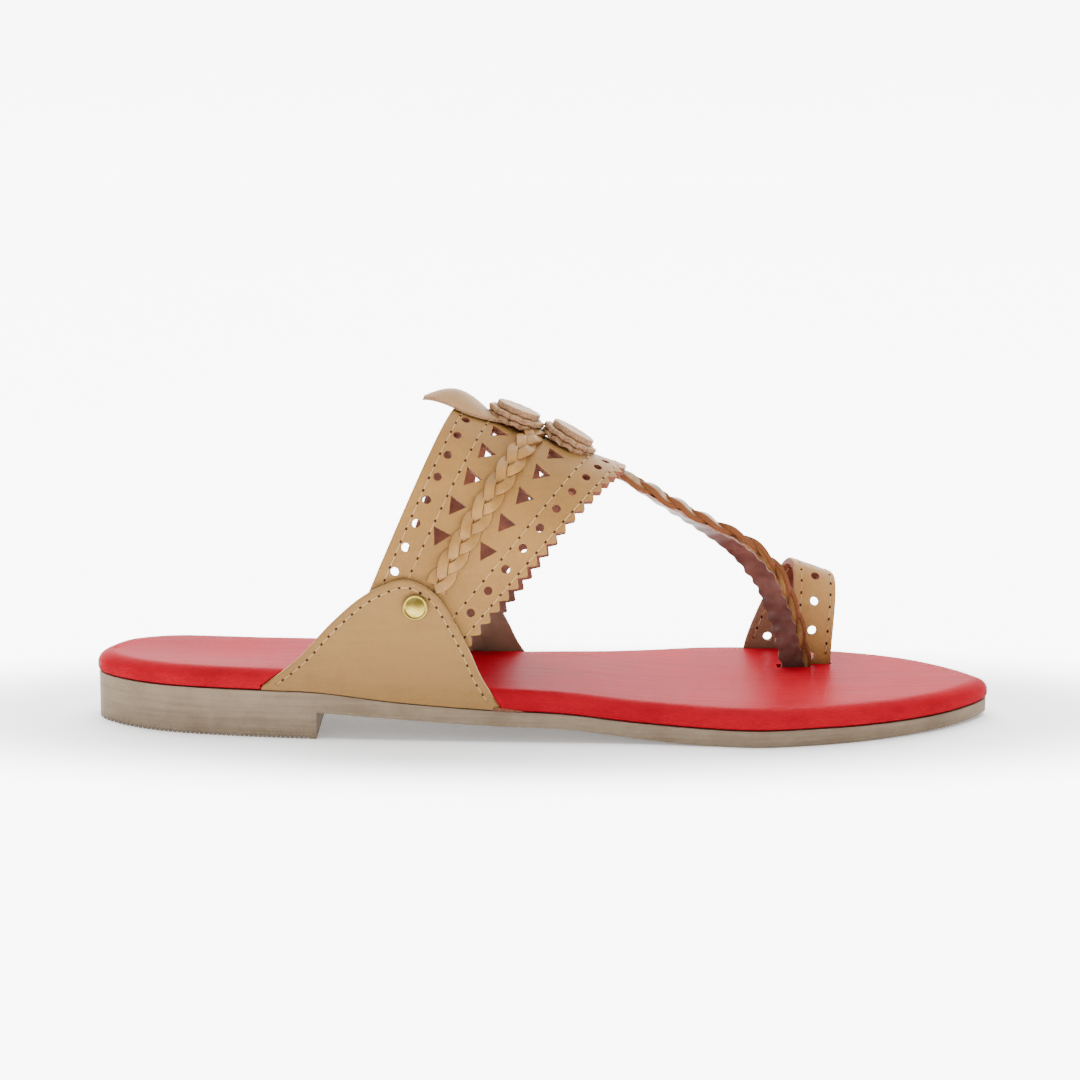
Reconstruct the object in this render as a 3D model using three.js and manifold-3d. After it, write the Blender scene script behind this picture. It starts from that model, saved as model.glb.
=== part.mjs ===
// Kolhapuri sandal for the right foot, in millimetres: X runs from the heel to the toes, Y to the
// inner (medial) side of the foot, Z up. The shoe is drawn with the back of its heel at X = 0 and
// the ground at Z = 0, and the last lines set the origin under the middle of its box.
import * as THREE from "three";
import { mergeVertices } from "three/addons/utils/BufferGeometryUtils.js";
import Module from "manifold-3d";

const wasm = await Module();
wasm.setup();

// Sole
const SOLE_LENGTH = 256.5;
const BALL_WIDTH = 90;
const HEEL_HEIGHT = 13.4; // top of the outsole over the heel
const SOLE_THICKNESS = 4.7; // under the ball of the foot
const TOE_THICKNESS = 3.8;
const TOE_SPRING = 1.2;
const HEEL_LENGTH = 64.5; // back of the heel to the heel's breast
const BREAST_HEIGHT = 7.5;
const SOLE_INSET = 0.4; // the outsole's wall lies this far inside the insole's edge
const RIB_PITCH = 1.3; // cross ribs under the heel
const RIB_DEPTH = 0.65;

// Insole
const INSOLE_THICKNESS = 5.5;
const INSOLE_ROUND = 4.5; // width of the rounding of its upper edge
const INSOLE_ROUND_HEIGHT = 3.6;
const INSOLE_LOWER_ROUND = 1;

// Instep band
const BAND_THICKNESS = 2.2;
const CREST_REAR = 103; // where the band's two edges cross the crest, and where they meet the sole
const CREST_FRONT = 151.6;
const BASE_REAR = 67.5;
const BASE_FRONT = 95.3;
const MEDIAL_SHIFT = 10; // the inner side's ends, tab and rivet stand this much further forward
const CREST_HEIGHT_REAR = 90.6;
const CREST_HEIGHT_FRONT = 72.7;
const REAR_SOFTNESS = 0.12; // share of the half arch over which an edge turns at the crest
const FRONT_SOFTNESS = 0.22;
const ARCH_SQUARENESS = 2.4; // 2 is an ellipse
const TOOTH_PITCH = 4.2; // pinked front edge
const TOOTH_DEPTH = 1.8;

// Punched holes
const CIRCLE_DIAMETER = 2.6;
const TRIANGLE_SIDE = 5.2;
const LOOP_HOLE_DIAMETER = 2.6;

// Plaits
const BAND_PLAIT_WIDTH = 7.4;
const BAND_PLAIT_HEIGHT = 1.9;
const BAND_PLAIT_STITCH = 6.3;
const PLAIT_SLANT = 0.55; // stitches that a strand runs along the plait from its middle to its edge
const BAND_PLAIT_ACROSS = 0.46; // its middle, as a share of the band's width
const THONG_PLAIT_WIDTH = 8.6;
const THONG_PLAIT_HEIGHT = 2.5;
const THONG_PLAIT_STITCH = 8.7;

// Thong
const THONG_WIDTH = 6.6; // its flat lining strap
const THONG_THICKNESS = 1.5;
const THONG_ROOT_AT = 139;
const THONG_ROOT_DEPTH = 2.5; // its underside, below the band's upper face
const THONG_SLOT_AT = 201.4;
const THONG_SLOT_ASIDE = 0.191 * BALL_WIDTH;
const THONG_TWIST = 90; // degrees between the crest and the slot

// Toe loop
const LOOP_WIDTH = 12.3;
const LOOP_THICKNESS = 2;
const LOOP_HEIGHT_REAR = 28.7; // above the insole
const LOOP_HEIGHT_FRONT = 24.5;
const LOOP_NEAR_AT = 200.6;
const LOOP_NEAR_ASIDE = 0.251 * BALL_WIDTH;
const LOOP_SPAN = 0.238 * BALL_WIDTH; // between the two legs, across the shoe
const LOOP_BACKSET = 12; // how far the inner leg stands behind the outer one
const LOOP_LEAN = 2.3;
const LOOP_SQUARENESS = 2.6;

// Side tabs and rivets
const TAB_THICKNESS = 2;
const TAB_REAR = 49.4;
const TAB_LENGTH = 66.5;
const TAB_HEIGHT_LATERAL = 34.4;
const TAB_HEIGHT_MEDIAL = 31;
const TAB_BEVEL = 0.7;
const TAB_INSET = 0.3; // the tab's outer face lies this far inside the insole's edge
const RIVET_AT = 92.6;
const RIVET_UP = 27.2; // above the sole, along the tab
const RIVET_DIAMETER = 7.1;
const RIVET_HEIGHT = 1.4;
const SHANK_DIAMETER = 2.8;
const BURR_DIAMETER = 5.6;
const BURR_THICKNESS = 0.8;

// Leaf and rosettes
const LEAF_TIP = 94.3;
const LEAF_LENGTH = 26.6;
const LEAF_WIDTH = 16;
const LEAF_THICKNESS = 1.3;
const LEAF_DROOP = 2.4;
const LEAF_CROWN = 2.7; // its middle line stands this much above its two edges
const LEAF_CROWNED = 0.66; // share of the leaf that does, short of the rosette on it
const ROSETTE_DIAMETER = 16.8;
const ROSETTE_THICKNESS = 1.5;
const ROSETTE_LOBES = 12;
const ROSETTE_LOBE_DEPTH = 0.9;
const DISC_DIAMETER = 12.9;
const REAR_ROSETTE_AT = 119.3;
const REAR_ROSETTE_SLOPE = 22; // degrees down to the toe
const FRONT_ROSETTE_AT = 135.3;
const FRONT_ROSETTE_SLOPE = 30;
const FRONT_ROSETTE_LIFT = 2.35; // its middle above the band

const CLEARANCE = 0.3; // between pieces that meet
const CUTTER_HEIGHT = 3 * HEEL_HEIGHT; // of upright cutters, past outsole and insole

// Outline of the insole: shares of the sole's length, and of the ball's width to either side.
const HEEL_BACK = { at: -0.003, side: 0.028 };
const TOE_TIP = { at: 1, side: 0.02 };
const OUTLINE = [
  { at: 0.003, lateral: 0.05, medial: 0.106 },
  { at: 0.021, lateral: 0.12, medial: 0.204 },
  { at: 0.049, lateral: 0.187, medial: 0.253 },
  { at: 0.082, lateral: 0.239, medial: 0.274 },
  { at: 0.125, lateral: 0.278, medial: 0.262 },
  { at: 0.188, lateral: 0.316, medial: 0.237 },
  { at: 0.281, lateral: 0.353, medial: 0.223 },
  { at: 0.391, lateral: 0.378, medial: 0.24 },
  { at: 0.508, lateral: 0.396, medial: 0.282 },
  { at: 0.605, lateral: 0.411, medial: 0.429 },
  { at: 0.684, lateral: 0.444, medial: 0.529 },
  { at: 0.734, lateral: 0.461, medial: 0.538 },
  { at: 0.789, lateral: 0.433, medial: 0.52 },
  { at: 0.844, lateral: 0.38, medial: 0.478 },
  { at: 0.895, lateral: 0.307, medial: 0.416 },
  { at: 0.938, lateral: 0.222, medial: 0.32 },
  { at: 0.973, lateral: 0.122, medial: 0.189 },
  { at: 0.993, lateral: 0.039, medial: 0.078 },
];

// Top of the outsole: shares of the sole's length, and of the step from forefoot to heel.
const TOP = [
  { at: 0, step: 1 },
  { at: 0.25, step: 0.98 },
  { at: 0.34, step: 0.71 },
  { at: 0.45, step: 0.49 },
  { at: 0.52, step: 0.4 },
  { at: 0.6, step: 0.15 },
  { at: 0.7, step: 0 },
  { at: 0.8, step: 0 },
];

// Underside between the heel's breast and the ball: shares of that length and of the breast's height.
const BALL_FLAT = { from: 0.7, to: 0.8 }; // shares of the length that lie on the ground
const ARCH = [
  { along: 0, rise: 1 },
  { along: 0.2, rise: 0.81 },
  { along: 0.44, rise: 0.6 },
  { along: 0.6, rise: 0.52 },
  { along: 0.8, rise: 0.16 },
  { along: 0.9, rise: 0.04 },
  { along: 1, rise: 0 },
];

// Upper edge of a side tab: shares of its length and of its height.
const TAB_EDGE = [
  { along: 0, up: 0.03 },
  { along: 0.16, up: 0.28 },
  { along: 0.29, up: 0.57 },
  { along: 0.415, up: 0.81 },
  { along: 0.52, up: 0.945 },
  { along: 0.6, up: 1 },
  { along: 0.69, up: 0.955 },
  { along: 0.75, up: 0.865 },
  { along: 0.81, up: 0.69 },
  { along: 0.875, up: 0.46 },
  { along: 0.92, up: 0.265 },
  { along: 1, up: 0.03 },
];

// Thong, from its root under the band's crest to the top of its slot: shares of the run towards the
// toes, of the run aside, of the drop, of the twist and of the plait's height.
const THONG_ROUTE = [
  { along: 0, aside: 0, drop: 0, twist: 0, plait: 0 },
  { along: 0.19, aside: 0.017, drop: 0.104, twist: 0.05, plait: 0.6 },
  { along: 0.265, aside: 0.045, drop: 0.154, twist: 0.1, plait: 1 },
  { along: 0.39, aside: 0.123, drop: 0.23, twist: 0.16, plait: 1 },
  { along: 0.545, aside: 0.25, drop: 0.322, twist: 0.25, plait: 1 },
  { along: 0.67, aside: 0.38, drop: 0.397, twist: 0.42, plait: 1 },
  { along: 0.75, aside: 0.48, drop: 0.461, twist: 0.55, plait: 1 },
  { along: 0.813, aside: 0.57, drop: 0.531, twist: 0.66, plait: 1 },
  { along: 0.862, aside: 0.66, drop: 0.595, twist: 0.73, plait: 1 },
  { along: 0.905, aside: 0.76, drop: 0.693, twist: 0.8, plait: 0.95 },
  { along: 0.945, aside: 0.85, drop: 0.787, twist: 0.89, plait: 0.9 },
  { along: 0.974, aside: 0.94, drop: 0.9, twist: 0.97, plait: 0.8 },
  { along: 1, aside: 1, drop: 1, twist: 1, plait: 0.75 },
];

const lerp = THREE.MathUtils.lerp;
const clamp = THREE.MathUtils.clamp;

// The value of one column of a table, smoothly between its rows.
function smooth(rows, key, column) {
  const table = new THREE.CubicInterpolant(
    rows.map((row) => row[key]),
    rows.map((row) => row[column]),
    1,
  );
  return (at) => table.evaluate(at)[0];
}

// Solids

function solidOf(geometry) {
  const bare = geometry.clone();
  bare.deleteAttribute("normal");
  bare.deleteAttribute("uv");
  const merged = mergeVertices(bare, 1e-4);
  return new wasm.Manifold(
    new wasm.Mesh({
      numProp: 3,
      vertProperties: merged.attributes.position.array,
      triVerts: new Uint32Array(merged.index.array),
    }),
  );
}

function geometryOf(solid) {
  const mesh = solid.getMesh();
  const geometry = new THREE.BufferGeometry();
  geometry.setAttribute("position", new THREE.BufferAttribute(mesh.vertProperties, 3));
  geometry.setIndex(new THREE.BufferAttribute(mesh.triVerts, 1));
  geometry.computeVertexNormals();
  return geometry;
}

// A closed solid through rings of points. Each ring goes out along one face of the piece and comes
// back along the other, so its first point lies opposite its last, and the ends close as strips.
function loft(rings) {
  const size = rings[0].length;
  const positions = rings.flat().flatMap((point) => point.toArray());
  const faces = [];
  const quad = (a, b, c, d) => faces.push(a, b, c, a, c, d);
  for (let r = 0; r + 1 < rings.length; r += 1) {
    for (let i = 0; i < size; i += 1) {
      const next = (i + 1) % size;
      quad(r * size + i, r * size + next, (r + 1) * size + next, (r + 1) * size + i);
    }
  }
  const last = (rings.length - 1) * size;
  for (let i = 0; i + 1 < size / 2; i += 1) {
    quad(i + 1, i, size - 1 - i, size - 2 - i);
    quad(last + i, last + i + 1, last + size - 2 - i, last + size - 1 - i);
  }
  const geometry = new THREE.BufferGeometry();
  geometry.setAttribute("position", new THREE.Float32BufferAttribute(positions, 3));
  geometry.setIndex(faces);
  const solid = solidOf(geometry);
  return solid.volume() > 0 ? solid : solidOf(turnedOut(geometry));
}

// The same surface with its faces turned round.
function turnedOut(geometry) {
  const index = geometry.index.array;
  for (let i = 0; i < index.length; i += 3) {
    [index[i + 1], index[i + 2]] = [index[i + 2], index[i + 1]];
  }
  return geometry;
}

// A point of a surface, lifted off it along its normal.
const SHARE_STEP = 0.004;
const LENGTH_STEP = 0.5;
function lifted(surface, share, length, lift) {
  const along = surface(share + SHARE_STEP, length).sub(surface(share - SHARE_STEP, length));
  const across = surface(share, length + LENGTH_STEP).sub(surface(share, length - LENGTH_STEP));
  const normal = across.cross(along).normalize();
  return surface(share, length).addScaledVector(normal, lift);
}

// Sole outline and heights

const controls = [
  new THREE.Vector3(HEEL_BACK.at * SOLE_LENGTH, HEEL_BACK.side * BALL_WIDTH, 0),
  ...OUTLINE.map((row) => new THREE.Vector3(row.at * SOLE_LENGTH, -row.lateral * BALL_WIDTH, 0)),
  new THREE.Vector3(TOE_TIP.at * SOLE_LENGTH, TOE_TIP.side * BALL_WIDTH, 0),
  ...OUTLINE.toReversed().map(
    (row) => new THREE.Vector3(row.at * SOLE_LENGTH, row.medial * BALL_WIDTH, 0),
  ),
];
const outlineCurve = new THREE.CatmullRomCurve3(controls, true, "centripetal");
const OUTLINE_POINTS = 2 * controls.length;

// The outline's points, moved in by an inset: up the outer side, and back down the inner side.
function outline(inset) {
  const points = [];
  for (let i = 0; i < OUTLINE_POINTS; i += 1) {
    const share = (i + 0.5) / OUTLINE_POINTS;
    const ahead = outlineCurve.getTangent(share);
    const point = outlineCurve.getPoint(share);
    points.push(new THREE.Vector2(point.x - ahead.y * inset, point.y + ahead.x * inset));
  }
  return points;
}

const lateralEdge = smooth(OUTLINE, "at", "lateral");
const medialEdge = smooth(OUTLINE, "at", "medial");
const topStep = smooth(TOP, "at", "step");
const archRise = smooth(ARCH, "along", "rise");

// Spring of the toe at a share of the length.
function spring(at) {
  const past = clamp((at - BALL_FLAT.to) / (1 - BALL_FLAT.to), 0, 1);
  return TOE_SPRING * past ** 2;
}

function soleTop(x) {
  const at = clamp(x / SOLE_LENGTH, 0, 1);
  const past = clamp((at - BALL_FLAT.to) / (1 - BALL_FLAT.to), 0, 1);
  const thickness = lerp(SOLE_THICKNESS, TOE_THICKNESS, past);
  return thickness + spring(at) + (HEEL_HEIGHT - SOLE_THICKNESS) * clamp(topStep(at), 0, 1);
}

function soleBottom(x) {
  const ball = BALL_FLAT.from * SOLE_LENGTH;
  if (x >= ball) return spring(x / SOLE_LENGTH);
  return BREAST_HEIGHT * clamp(archRise((x - HEEL_LENGTH) / (ball - HEEL_LENGTH)), 0, 1);
}

const insoleTop = (x) => soleTop(x) + CLEARANCE + INSOLE_THICKNESS;

// The form that the band and the tabs lie on: an arch at each place along the foot

class QuarterArch extends THREE.Curve {
  constructor(width, height) {
    super();
    this.width = width;
    this.height = height;
  }
  getPoint(share) {
    const angle = (share * Math.PI) / 2;
    const power = 2 / ARCH_SQUARENESS;
    return new THREE.Vector2(
      this.width * Math.cos(angle) ** power,
      this.height * Math.sin(angle) ** power,
    );
  }
}

const CREST_SLOPE = (CREST_HEIGHT_REAR - CREST_HEIGHT_FRONT) / (CREST_FRONT - CREST_REAR);
const BAND_INSET = TAB_INSET + TAB_THICKNESS + CLEARANCE;
const baseHeight = (x) => soleTop(x) + CLEARANCE;
const crestHeight = (x) => CREST_HEIGHT_REAR - CREST_SLOPE * (x - CREST_REAR);
const arches = new Map();

// Half of the arch at a place along the foot: side is -1 for the outer and 1 for the inner side.
function archAt(x, side) {
  const key = side + " " + x.toFixed(4);
  if (!arches.has(key)) {
    const edge = side < 0 ? lateralEdge : medialEdge;
    const width = edge(x / SOLE_LENGTH) * BALL_WIDTH - BAND_INSET;
    arches.set(key, new QuarterArch(width, crestHeight(x) - baseHeight(x)));
  }
  return arches.get(key);
}

// Share is -1 at the outer side's foot, 0 at the crest and 1 at the inner side's foot.
function form(share, x) {
  const side = share < 0 ? -1 : 1;
  const bounded = clamp(Math.abs(share), 0, 1);
  const point = archAt(x, side).getPointAt(1 - bounded);
  return new THREE.Vector3(x, side * point.x, baseHeight(x) + point.y);
}

// A share of the half arch, from a length up from the sole or down from the crest.
const shareUp = (x, side, up) => side * (1 - up / archAt(x, side).getLength());
const shareAside = (x, aside) => aside / archAt(x, aside < 0 ? -1 : 1).getLength();

// An edge of the band: it crosses the crest square on, and sweeps back evenly down the sides.
function sweptEdge(crest, base, softness) {
  const bend = (share) => Math.hypot(share, softness) - softness;
  return (share) => {
    const foot = share < 0 ? base : base + MEDIAL_SHIFT;
    return crest - ((crest - foot) * bend(share)) / bend(1);
  };
}
const rearEdge = sweptEdge(CREST_REAR, BASE_REAR, REAR_SOFTNESS);
const frontEdge = sweptEdge(CREST_FRONT, BASE_FRONT, FRONT_SOFTNESS);
const bandX = (share, across) => lerp(rearEdge(share), frontEdge(share), across);

// The side tabs: where each starts, how high it stands, and its upper edge at a place along the foot.
const tabRear = (side) => TAB_REAR + (side < 0 ? 0 : MEDIAL_SHIFT);
const tabHeight = (side) => (side < 0 ? TAB_HEIGHT_LATERAL : TAB_HEIGHT_MEDIAL);
const tabEdge = smooth(TAB_EDGE, "along", "up");
const tabTop = (x, side) => tabHeight(side) * tabEdge((x - tabRear(side)) / TAB_LENGTH);

// Outsole

function extruded(points, depth) {
  return new THREE.ExtrudeGeometry(new THREE.Shape(points), { depth, bevelEnabled: false });
}

// Side view of the outsole: ribs under the heel, breast, arch, ball and toe.
function soleProfile() {
  const profile = [];
  const ribs = Math.floor((HEEL_LENGTH - RIB_PITCH) / RIB_PITCH);
  for (let i = 0; i < ribs; i += 1) {
    const x = i * RIB_PITCH;
    profile.push(new THREE.Vector2(x, 0));
    profile.push(new THREE.Vector2(x + RIB_PITCH / 2, 0));
    profile.push(new THREE.Vector2(x + (RIB_PITCH * 3) / 4, RIB_DEPTH));
  }
  profile.push(new THREE.Vector2(ribs * RIB_PITCH, 0));
  profile.push(new THREE.Vector2(HEEL_LENGTH, 0));
  const steps = 34;
  for (let i = 0; i <= steps; i += 1) {
    const x = lerp(HEEL_LENGTH, SOLE_LENGTH, i / steps);
    profile.push(new THREE.Vector2(x, soleBottom(x)));
  }
  for (let i = steps; i >= 0; i -= 1) {
    const x = (SOLE_LENGTH * i) / steps;
    profile.push(new THREE.Vector2(x, soleTop(x)));
  }
  return profile;
}

function outsole() {
  const plan = extruded(outline(SOLE_INSET), CUTTER_HEIGHT);
  const side = extruded(soleProfile(), 2 * BALL_WIDTH);
  plan.translate(0, 0, -1);
  side.rotateX(Math.PI / 2);
  side.translate(0, BALL_WIDTH, 0);
  return solidOf(plan).intersect(solidOf(side));
}

// Insole

function insole() {
  const levels = [];
  const lower = INSOLE_LOWER_ROUND;
  for (const angle of [-90, -20]) {
    const a = THREE.MathUtils.degToRad(angle);
    levels.push({ inset: lower * (1 - Math.cos(a)), height: lower * (1 + Math.sin(a)) });
  }
  const shoulder = INSOLE_THICKNESS - INSOLE_ROUND_HEIGHT;
  for (const angle of [20, 48, 70, 90]) {
    const a = THREE.MathUtils.degToRad(angle);
    levels.push({
      inset: INSOLE_ROUND * (1 - Math.cos(a)),
      height: shoulder + INSOLE_ROUND_HEIGHT * Math.sin(a),
    });
  }
  const rings = levels.map(({ inset, height }) =>
    outline(inset).map(
      (point) => new THREE.Vector3(point.x, point.y, soleTop(point.x) + CLEARANCE + height),
    ),
  );
  let solid = loft(rings);
  for (const side of [-1, 1]) {
    solid = solid.subtract(bandNotch(side));
    solid = solid.subtract(tabShape(side, 0, 2 * BAND_INSET, CLEARANCE));
  }
  return solid.subtract(thongSlot()).subtract(loopSlot(0)).subtract(loopSlot(1));
}

// What the band's end takes out of the insole's edge, inside the tab.
function bandNotch(side) {
  const edge = side < 0 ? lateralEdge : medialEdge;
  const depth = BAND_INSET + BAND_THICKNESS + CLEARANCE;
  const high = side * (1 - (2 * INSOLE_THICKNESS) / CREST_HEIGHT_REAR);
  const from = rearEdge(side) - 2 * CLEARANCE;
  const to = frontEdge(high) + 2 * CLEARANCE;
  const points = [];
  const steps = 8;
  for (let i = 0; i <= steps; i += 1) {
    const x = lerp(from, to, i / steps);
    points.push(new THREE.Vector2(x, side * (edge(x / SOLE_LENGTH) * BALL_WIDTH - depth)));
  }
  points.push(new THREE.Vector2(to, side * BALL_WIDTH));
  points.push(new THREE.Vector2(from, side * BALL_WIDTH));
  return solidOf(extruded(points, CUTTER_HEIGHT));
}

// A slot through the insole for a strap that goes straight down.
function slot(x, y, length, width) {
  const grown = 2 * CLEARANCE;
  const box = new THREE.BoxGeometry(length + grown, width + grown, CUTTER_HEIGHT);
  box.translate(x, y, 0);
  return solidOf(box);
}

function thongSlot() {
  const depth = THONG_THICKNESS + THONG_PLAIT_HEIGHT * THONG_ROUTE.at(-1).plait;
  return slot(THONG_SLOT_AT, THONG_SLOT_ASIDE + depth / 2, THONG_PLAIT_WIDTH, depth);
}

function loopSlot(leg) {
  const x = LOOP_NEAR_AT - leg * LOOP_BACKSET + LOOP_WIDTH / 2;
  return slot(x, LOOP_NEAR_ASIDE + leg * LOOP_SPAN, LOOP_WIDTH, LOOP_THICKNESS);
}

// Band with its plait, holes and thong

class EdgeCurve extends THREE.Curve {
  constructor(side) {
    super();
    this.side = side;
  }
  getPoint(share) {
    return form(this.side * share, frontEdge(this.side * share));
  }
}

const BAND_STEPS = 18; // stations on each half of the arch
const BAND_COLUMNS = [0, BAND_PLAIT_ACROSS, 1];

// The band's wall, from the outer side's foot over the crest to the inner side's foot.
function bandWall() {
  const edges = { [-1]: new EdgeCurve(-1), 1: new EdgeCurve(1) };
  const rings = [];
  for (let i = -BAND_STEPS; i <= BAND_STEPS; i += 1) {
    const side = i < 0 ? -1 : 1;
    const share = side * edges[side].getUtoTmapping(Math.abs(i) / BAND_STEPS);
    const outer = BAND_COLUMNS.map((across) => lifted(form, share, bandX(share, across), 0));
    const inner = BAND_COLUMNS.map((across) =>
      lifted(form, share, bandX(share, across), -BAND_THICKNESS),
    );
    rings.push([...outer, ...inner.toReversed()]);
  }
  return loft(rings);
}

// Pinking: square punches along the front edge, a corner of each towards the heel.
function pinked(band) {
  let left = band;
  for (const side of [-1, 1]) {
    const edge = new EdgeCurve(side);
    const teeth = Math.round(edge.getLength() / TOOTH_PITCH);
    for (let i = 1; i < teeth; i += 1) {
      const share = side * edge.getUtoTmapping((i + 0.5) / teeth);
      const tangent = edge.getTangentAt((i + 0.5) / teeth).multiplyScalar(side);
      left = left.subtract(punch(form, share, frontEdge(share), TOOTH_DEPTH, 4, tangent));
    }
  }
  return left;
}

// Columns of a plait's upper face: their place across it, their height, and how far that height and
// that place swing with the strands.
const PLAIT_COLUMNS = [
  { across: -1, height: 0.15, wave: 0.4, sway: 0.18 },
  { across: -0.56, height: 0.4, wave: 0.6, sway: 0.05 },
  { across: -0.08, height: 0.3, wave: 0.55, sway: 0 },
  { across: 0.08, height: 0.3, wave: 0.55, sway: 0 },
  { across: 0.56, height: 0.4, wave: 0.6, sway: 0.05 },
  { across: 1, height: 0.15, wave: 0.4, sway: 0.18 },
];
const PLAIT_STEPS = 2; // rows to a stitch, one on a strand's ridge and one between two strands
const PLAIT_ROOT = 0.8; // how deep a plait is rooted in the wall under it
const PLAIT_ROOT_ACROSS = 0.95;

// The upper face of a flat plait of three strands at one row, placed by a function of across and
// height. The strands of one side lie half a stitch behind those of the other.
function plaitRow(row, put) {
  return PLAIT_COLUMNS.map(({ across, height, wave, sway }) => {
    const ridge = (row + (across < 0 ? 1 : 0)) % PLAIT_STEPS;
    return put(across * (1 - sway * (1 - ridge)), height + wave * ridge);
  });
}

// The rows are vees, so that each lies along the strands of both sides.
function bandPlait() {
  const middle = (share) => bandX(share, BAND_PLAIT_ACROSS);
  const halfLength = form(0, middle(0)).distanceTo(form(0.4, middle(0.4))) / 0.4;
  const stitch = BAND_PLAIT_STITCH / halfLength;
  const start = -plaitEnd(-1);
  const end = plaitEnd(1) - PLAIT_SLANT * stitch;
  const rows = PLAIT_STEPS * Math.round((end - start) / stitch);
  const rings = [];
  for (let i = 0; i <= rows; i += 1) {
    const share = lerp(start, end, i / rows);
    const sweep = (middle(share + SHARE_STEP) - middle(share - SHARE_STEP)) / (2 * SHARE_STEP);
    const half = (Math.hypot(1, sweep / halfLength) * BAND_PLAIT_WIDTH) / 2;
    const put = (across, lift) => {
      const square = (across * half * sweep) / halfLength ** 2;
      const place = share + PLAIT_SLANT * stitch * Math.abs(across) - square;
      return lifted(form, place, middle(place) + across * half, lift);
    };
    const top = plaitRow(i, (across, height) => put(across, BAND_PLAIT_HEIGHT * height));
    const root = [PLAIT_ROOT_ACROSS, -PLAIT_ROOT_ACROSS].map((across) => put(across, -PLAIT_ROOT));
    rings.push([...top, ...root]);
  }
  return loft(rings);
}

// The share of the half arch at which the plait stops, short of the side tab's upper edge.
function plaitEnd(side) {
  const clear = (share) => {
    const x = bandX(side * share, BAND_PLAIT_ACROSS);
    const half = BAND_PLAIT_WIDTH * 0.6;
    const tab = Math.max(tabTop(x - half, side), tabTop(x, side), tabTop(x + half, side));
    return (1 - share) * archAt(x, side).getLength() > tab + 2 * CLEARANCE;
  };
  let share = 0.9;
  while (!clear(share)) share -= 0.005;
  return share;
}

// Rows of holes in the band: their place across it at the crest and at the foot, and the first and
// last share of the half arch.
const HOLE_ROWS = [
  { crest: 0.095, foot: 0.13, from: 0.109, to: 0.632, count: 8, sides: 8 },
  { crest: 0.285, foot: 0.3, from: 0.116, to: 0.505, count: 5, sides: 3 },
  { crest: 0.63, foot: 0.63, from: 0.139, to: 0.525, count: 5, sides: 3 },
  { crest: 0.89, foot: 0.78, from: 0.05, to: 0.717, count: 10, sides: 8 },
];

// A punch that stands on a surface, with one corner turned forwards from the line it follows.
function punch(surface, share, x, radius, sides, line = new THREE.Vector3(0, 1, 0)) {
  const tool = new THREE.CylinderGeometry(radius, radius, 4 * BAND_THICKNESS, sides);
  const foot = lifted(surface, share, x, 0);
  const normal = lifted(surface, share, x, 1).sub(foot);
  const ahead = line.clone().cross(normal).normalize();
  const side = normal.clone().cross(ahead);
  tool.applyMatrix4(new THREE.Matrix4().makeBasis(side, normal, ahead).setPosition(foot));
  return solidOf(tool);
}

function punchedBand() {
  let band = pinked(bandWall());
  for (const row of HOLE_ROWS) {
    const radius = row.sides === 3 ? TRIANGLE_SIDE / Math.sqrt(3) : CIRCLE_DIAMETER / 2;
    for (let i = 0; i < row.count; i += 1) {
      const share = lerp(row.from, row.to, i / (row.count - 1));
      for (const side of [-1, 1]) {
        const x = bandX(side * share, lerp(row.crest, row.foot, share));
        band = band.subtract(punch(form, side * share, x, radius, row.sides));
      }
    }
  }
  return band;
}

function thong() {
  const root = new THREE.Vector3(THONG_ROOT_AT, 0, crestHeight(THONG_ROOT_AT) - THONG_ROOT_DEPTH);
  const end = new THREE.Vector3(THONG_SLOT_AT, THONG_SLOT_ASIDE, insoleTop(THONG_SLOT_AT));
  const points = THONG_ROUTE.map(
    (row) =>
      new THREE.Vector3(
        lerp(root.x, end.x, row.along),
        lerp(root.y, end.y, row.aside),
        lerp(root.z, end.z, row.drop),
      ),
  );
  points.push(new THREE.Vector3(end.x, end.y, end.z - INSOLE_THICKNESS / 2));
  points.push(new THREE.Vector3(end.x, end.y, baseHeight(end.x)));
  const route = new THREE.CatmullRomCurve3(points, false, "centripetal");
  const rows = points.map((_, i) => {
    const row = THONG_ROUTE[Math.min(i, THONG_ROUTE.length - 1)];
    return { ...row, t: i / (points.length - 1) };
  });
  const twist = smooth(rows, "t", "twist");
  const plaited = smooth(rows, "t", "plait");
  const steps = PLAIT_STEPS * Math.round(route.getLength() / THONG_PLAIT_STITCH);
  const rings = [];
  for (let i = 0; i <= steps; i += 1) {
    const t = route.getUtoTmapping(i / steps);
    const roll = THREE.MathUtils.degToRad(THONG_TWIST * twist(t));
    const ahead = route.getTangent(t);
    const away = new THREE.Vector3(0, 1, 0).projectOnPlane(ahead).normalize();
    const over = ahead.clone().cross(away);
    const near = away.clone().multiplyScalar(-Math.cos(roll)).addScaledVector(over, Math.sin(roll));
    const normal = over.clone().multiplyScalar(Math.cos(roll)).addScaledVector(away, Math.sin(roll));
    const put = (across, lift) =>
      route.getPoint(t).addScaledVector(near, across).addScaledVector(normal, lift);
    const high = THONG_PLAIT_HEIGHT * clamp(plaited(t), 0.02, 1);
    const top = plaitRow(i, (across, height) =>
      put((across * THONG_PLAIT_WIDTH) / 2, THONG_THICKNESS + high * height),
    );
    rings.push([...top, put(THONG_WIDTH / 2, 0), put(-THONG_WIDTH / 2, 0)]);
  }
  return loft(rings);
}

function upper() {
  const band = punchedBand().add(bandPlait()).add(thong());
  return band.subtract(rivetHole(-1)).subtract(rivetHole(1));
}

// Toe loop: a strap that stands on its two legs and leans back to the inner one

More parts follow.
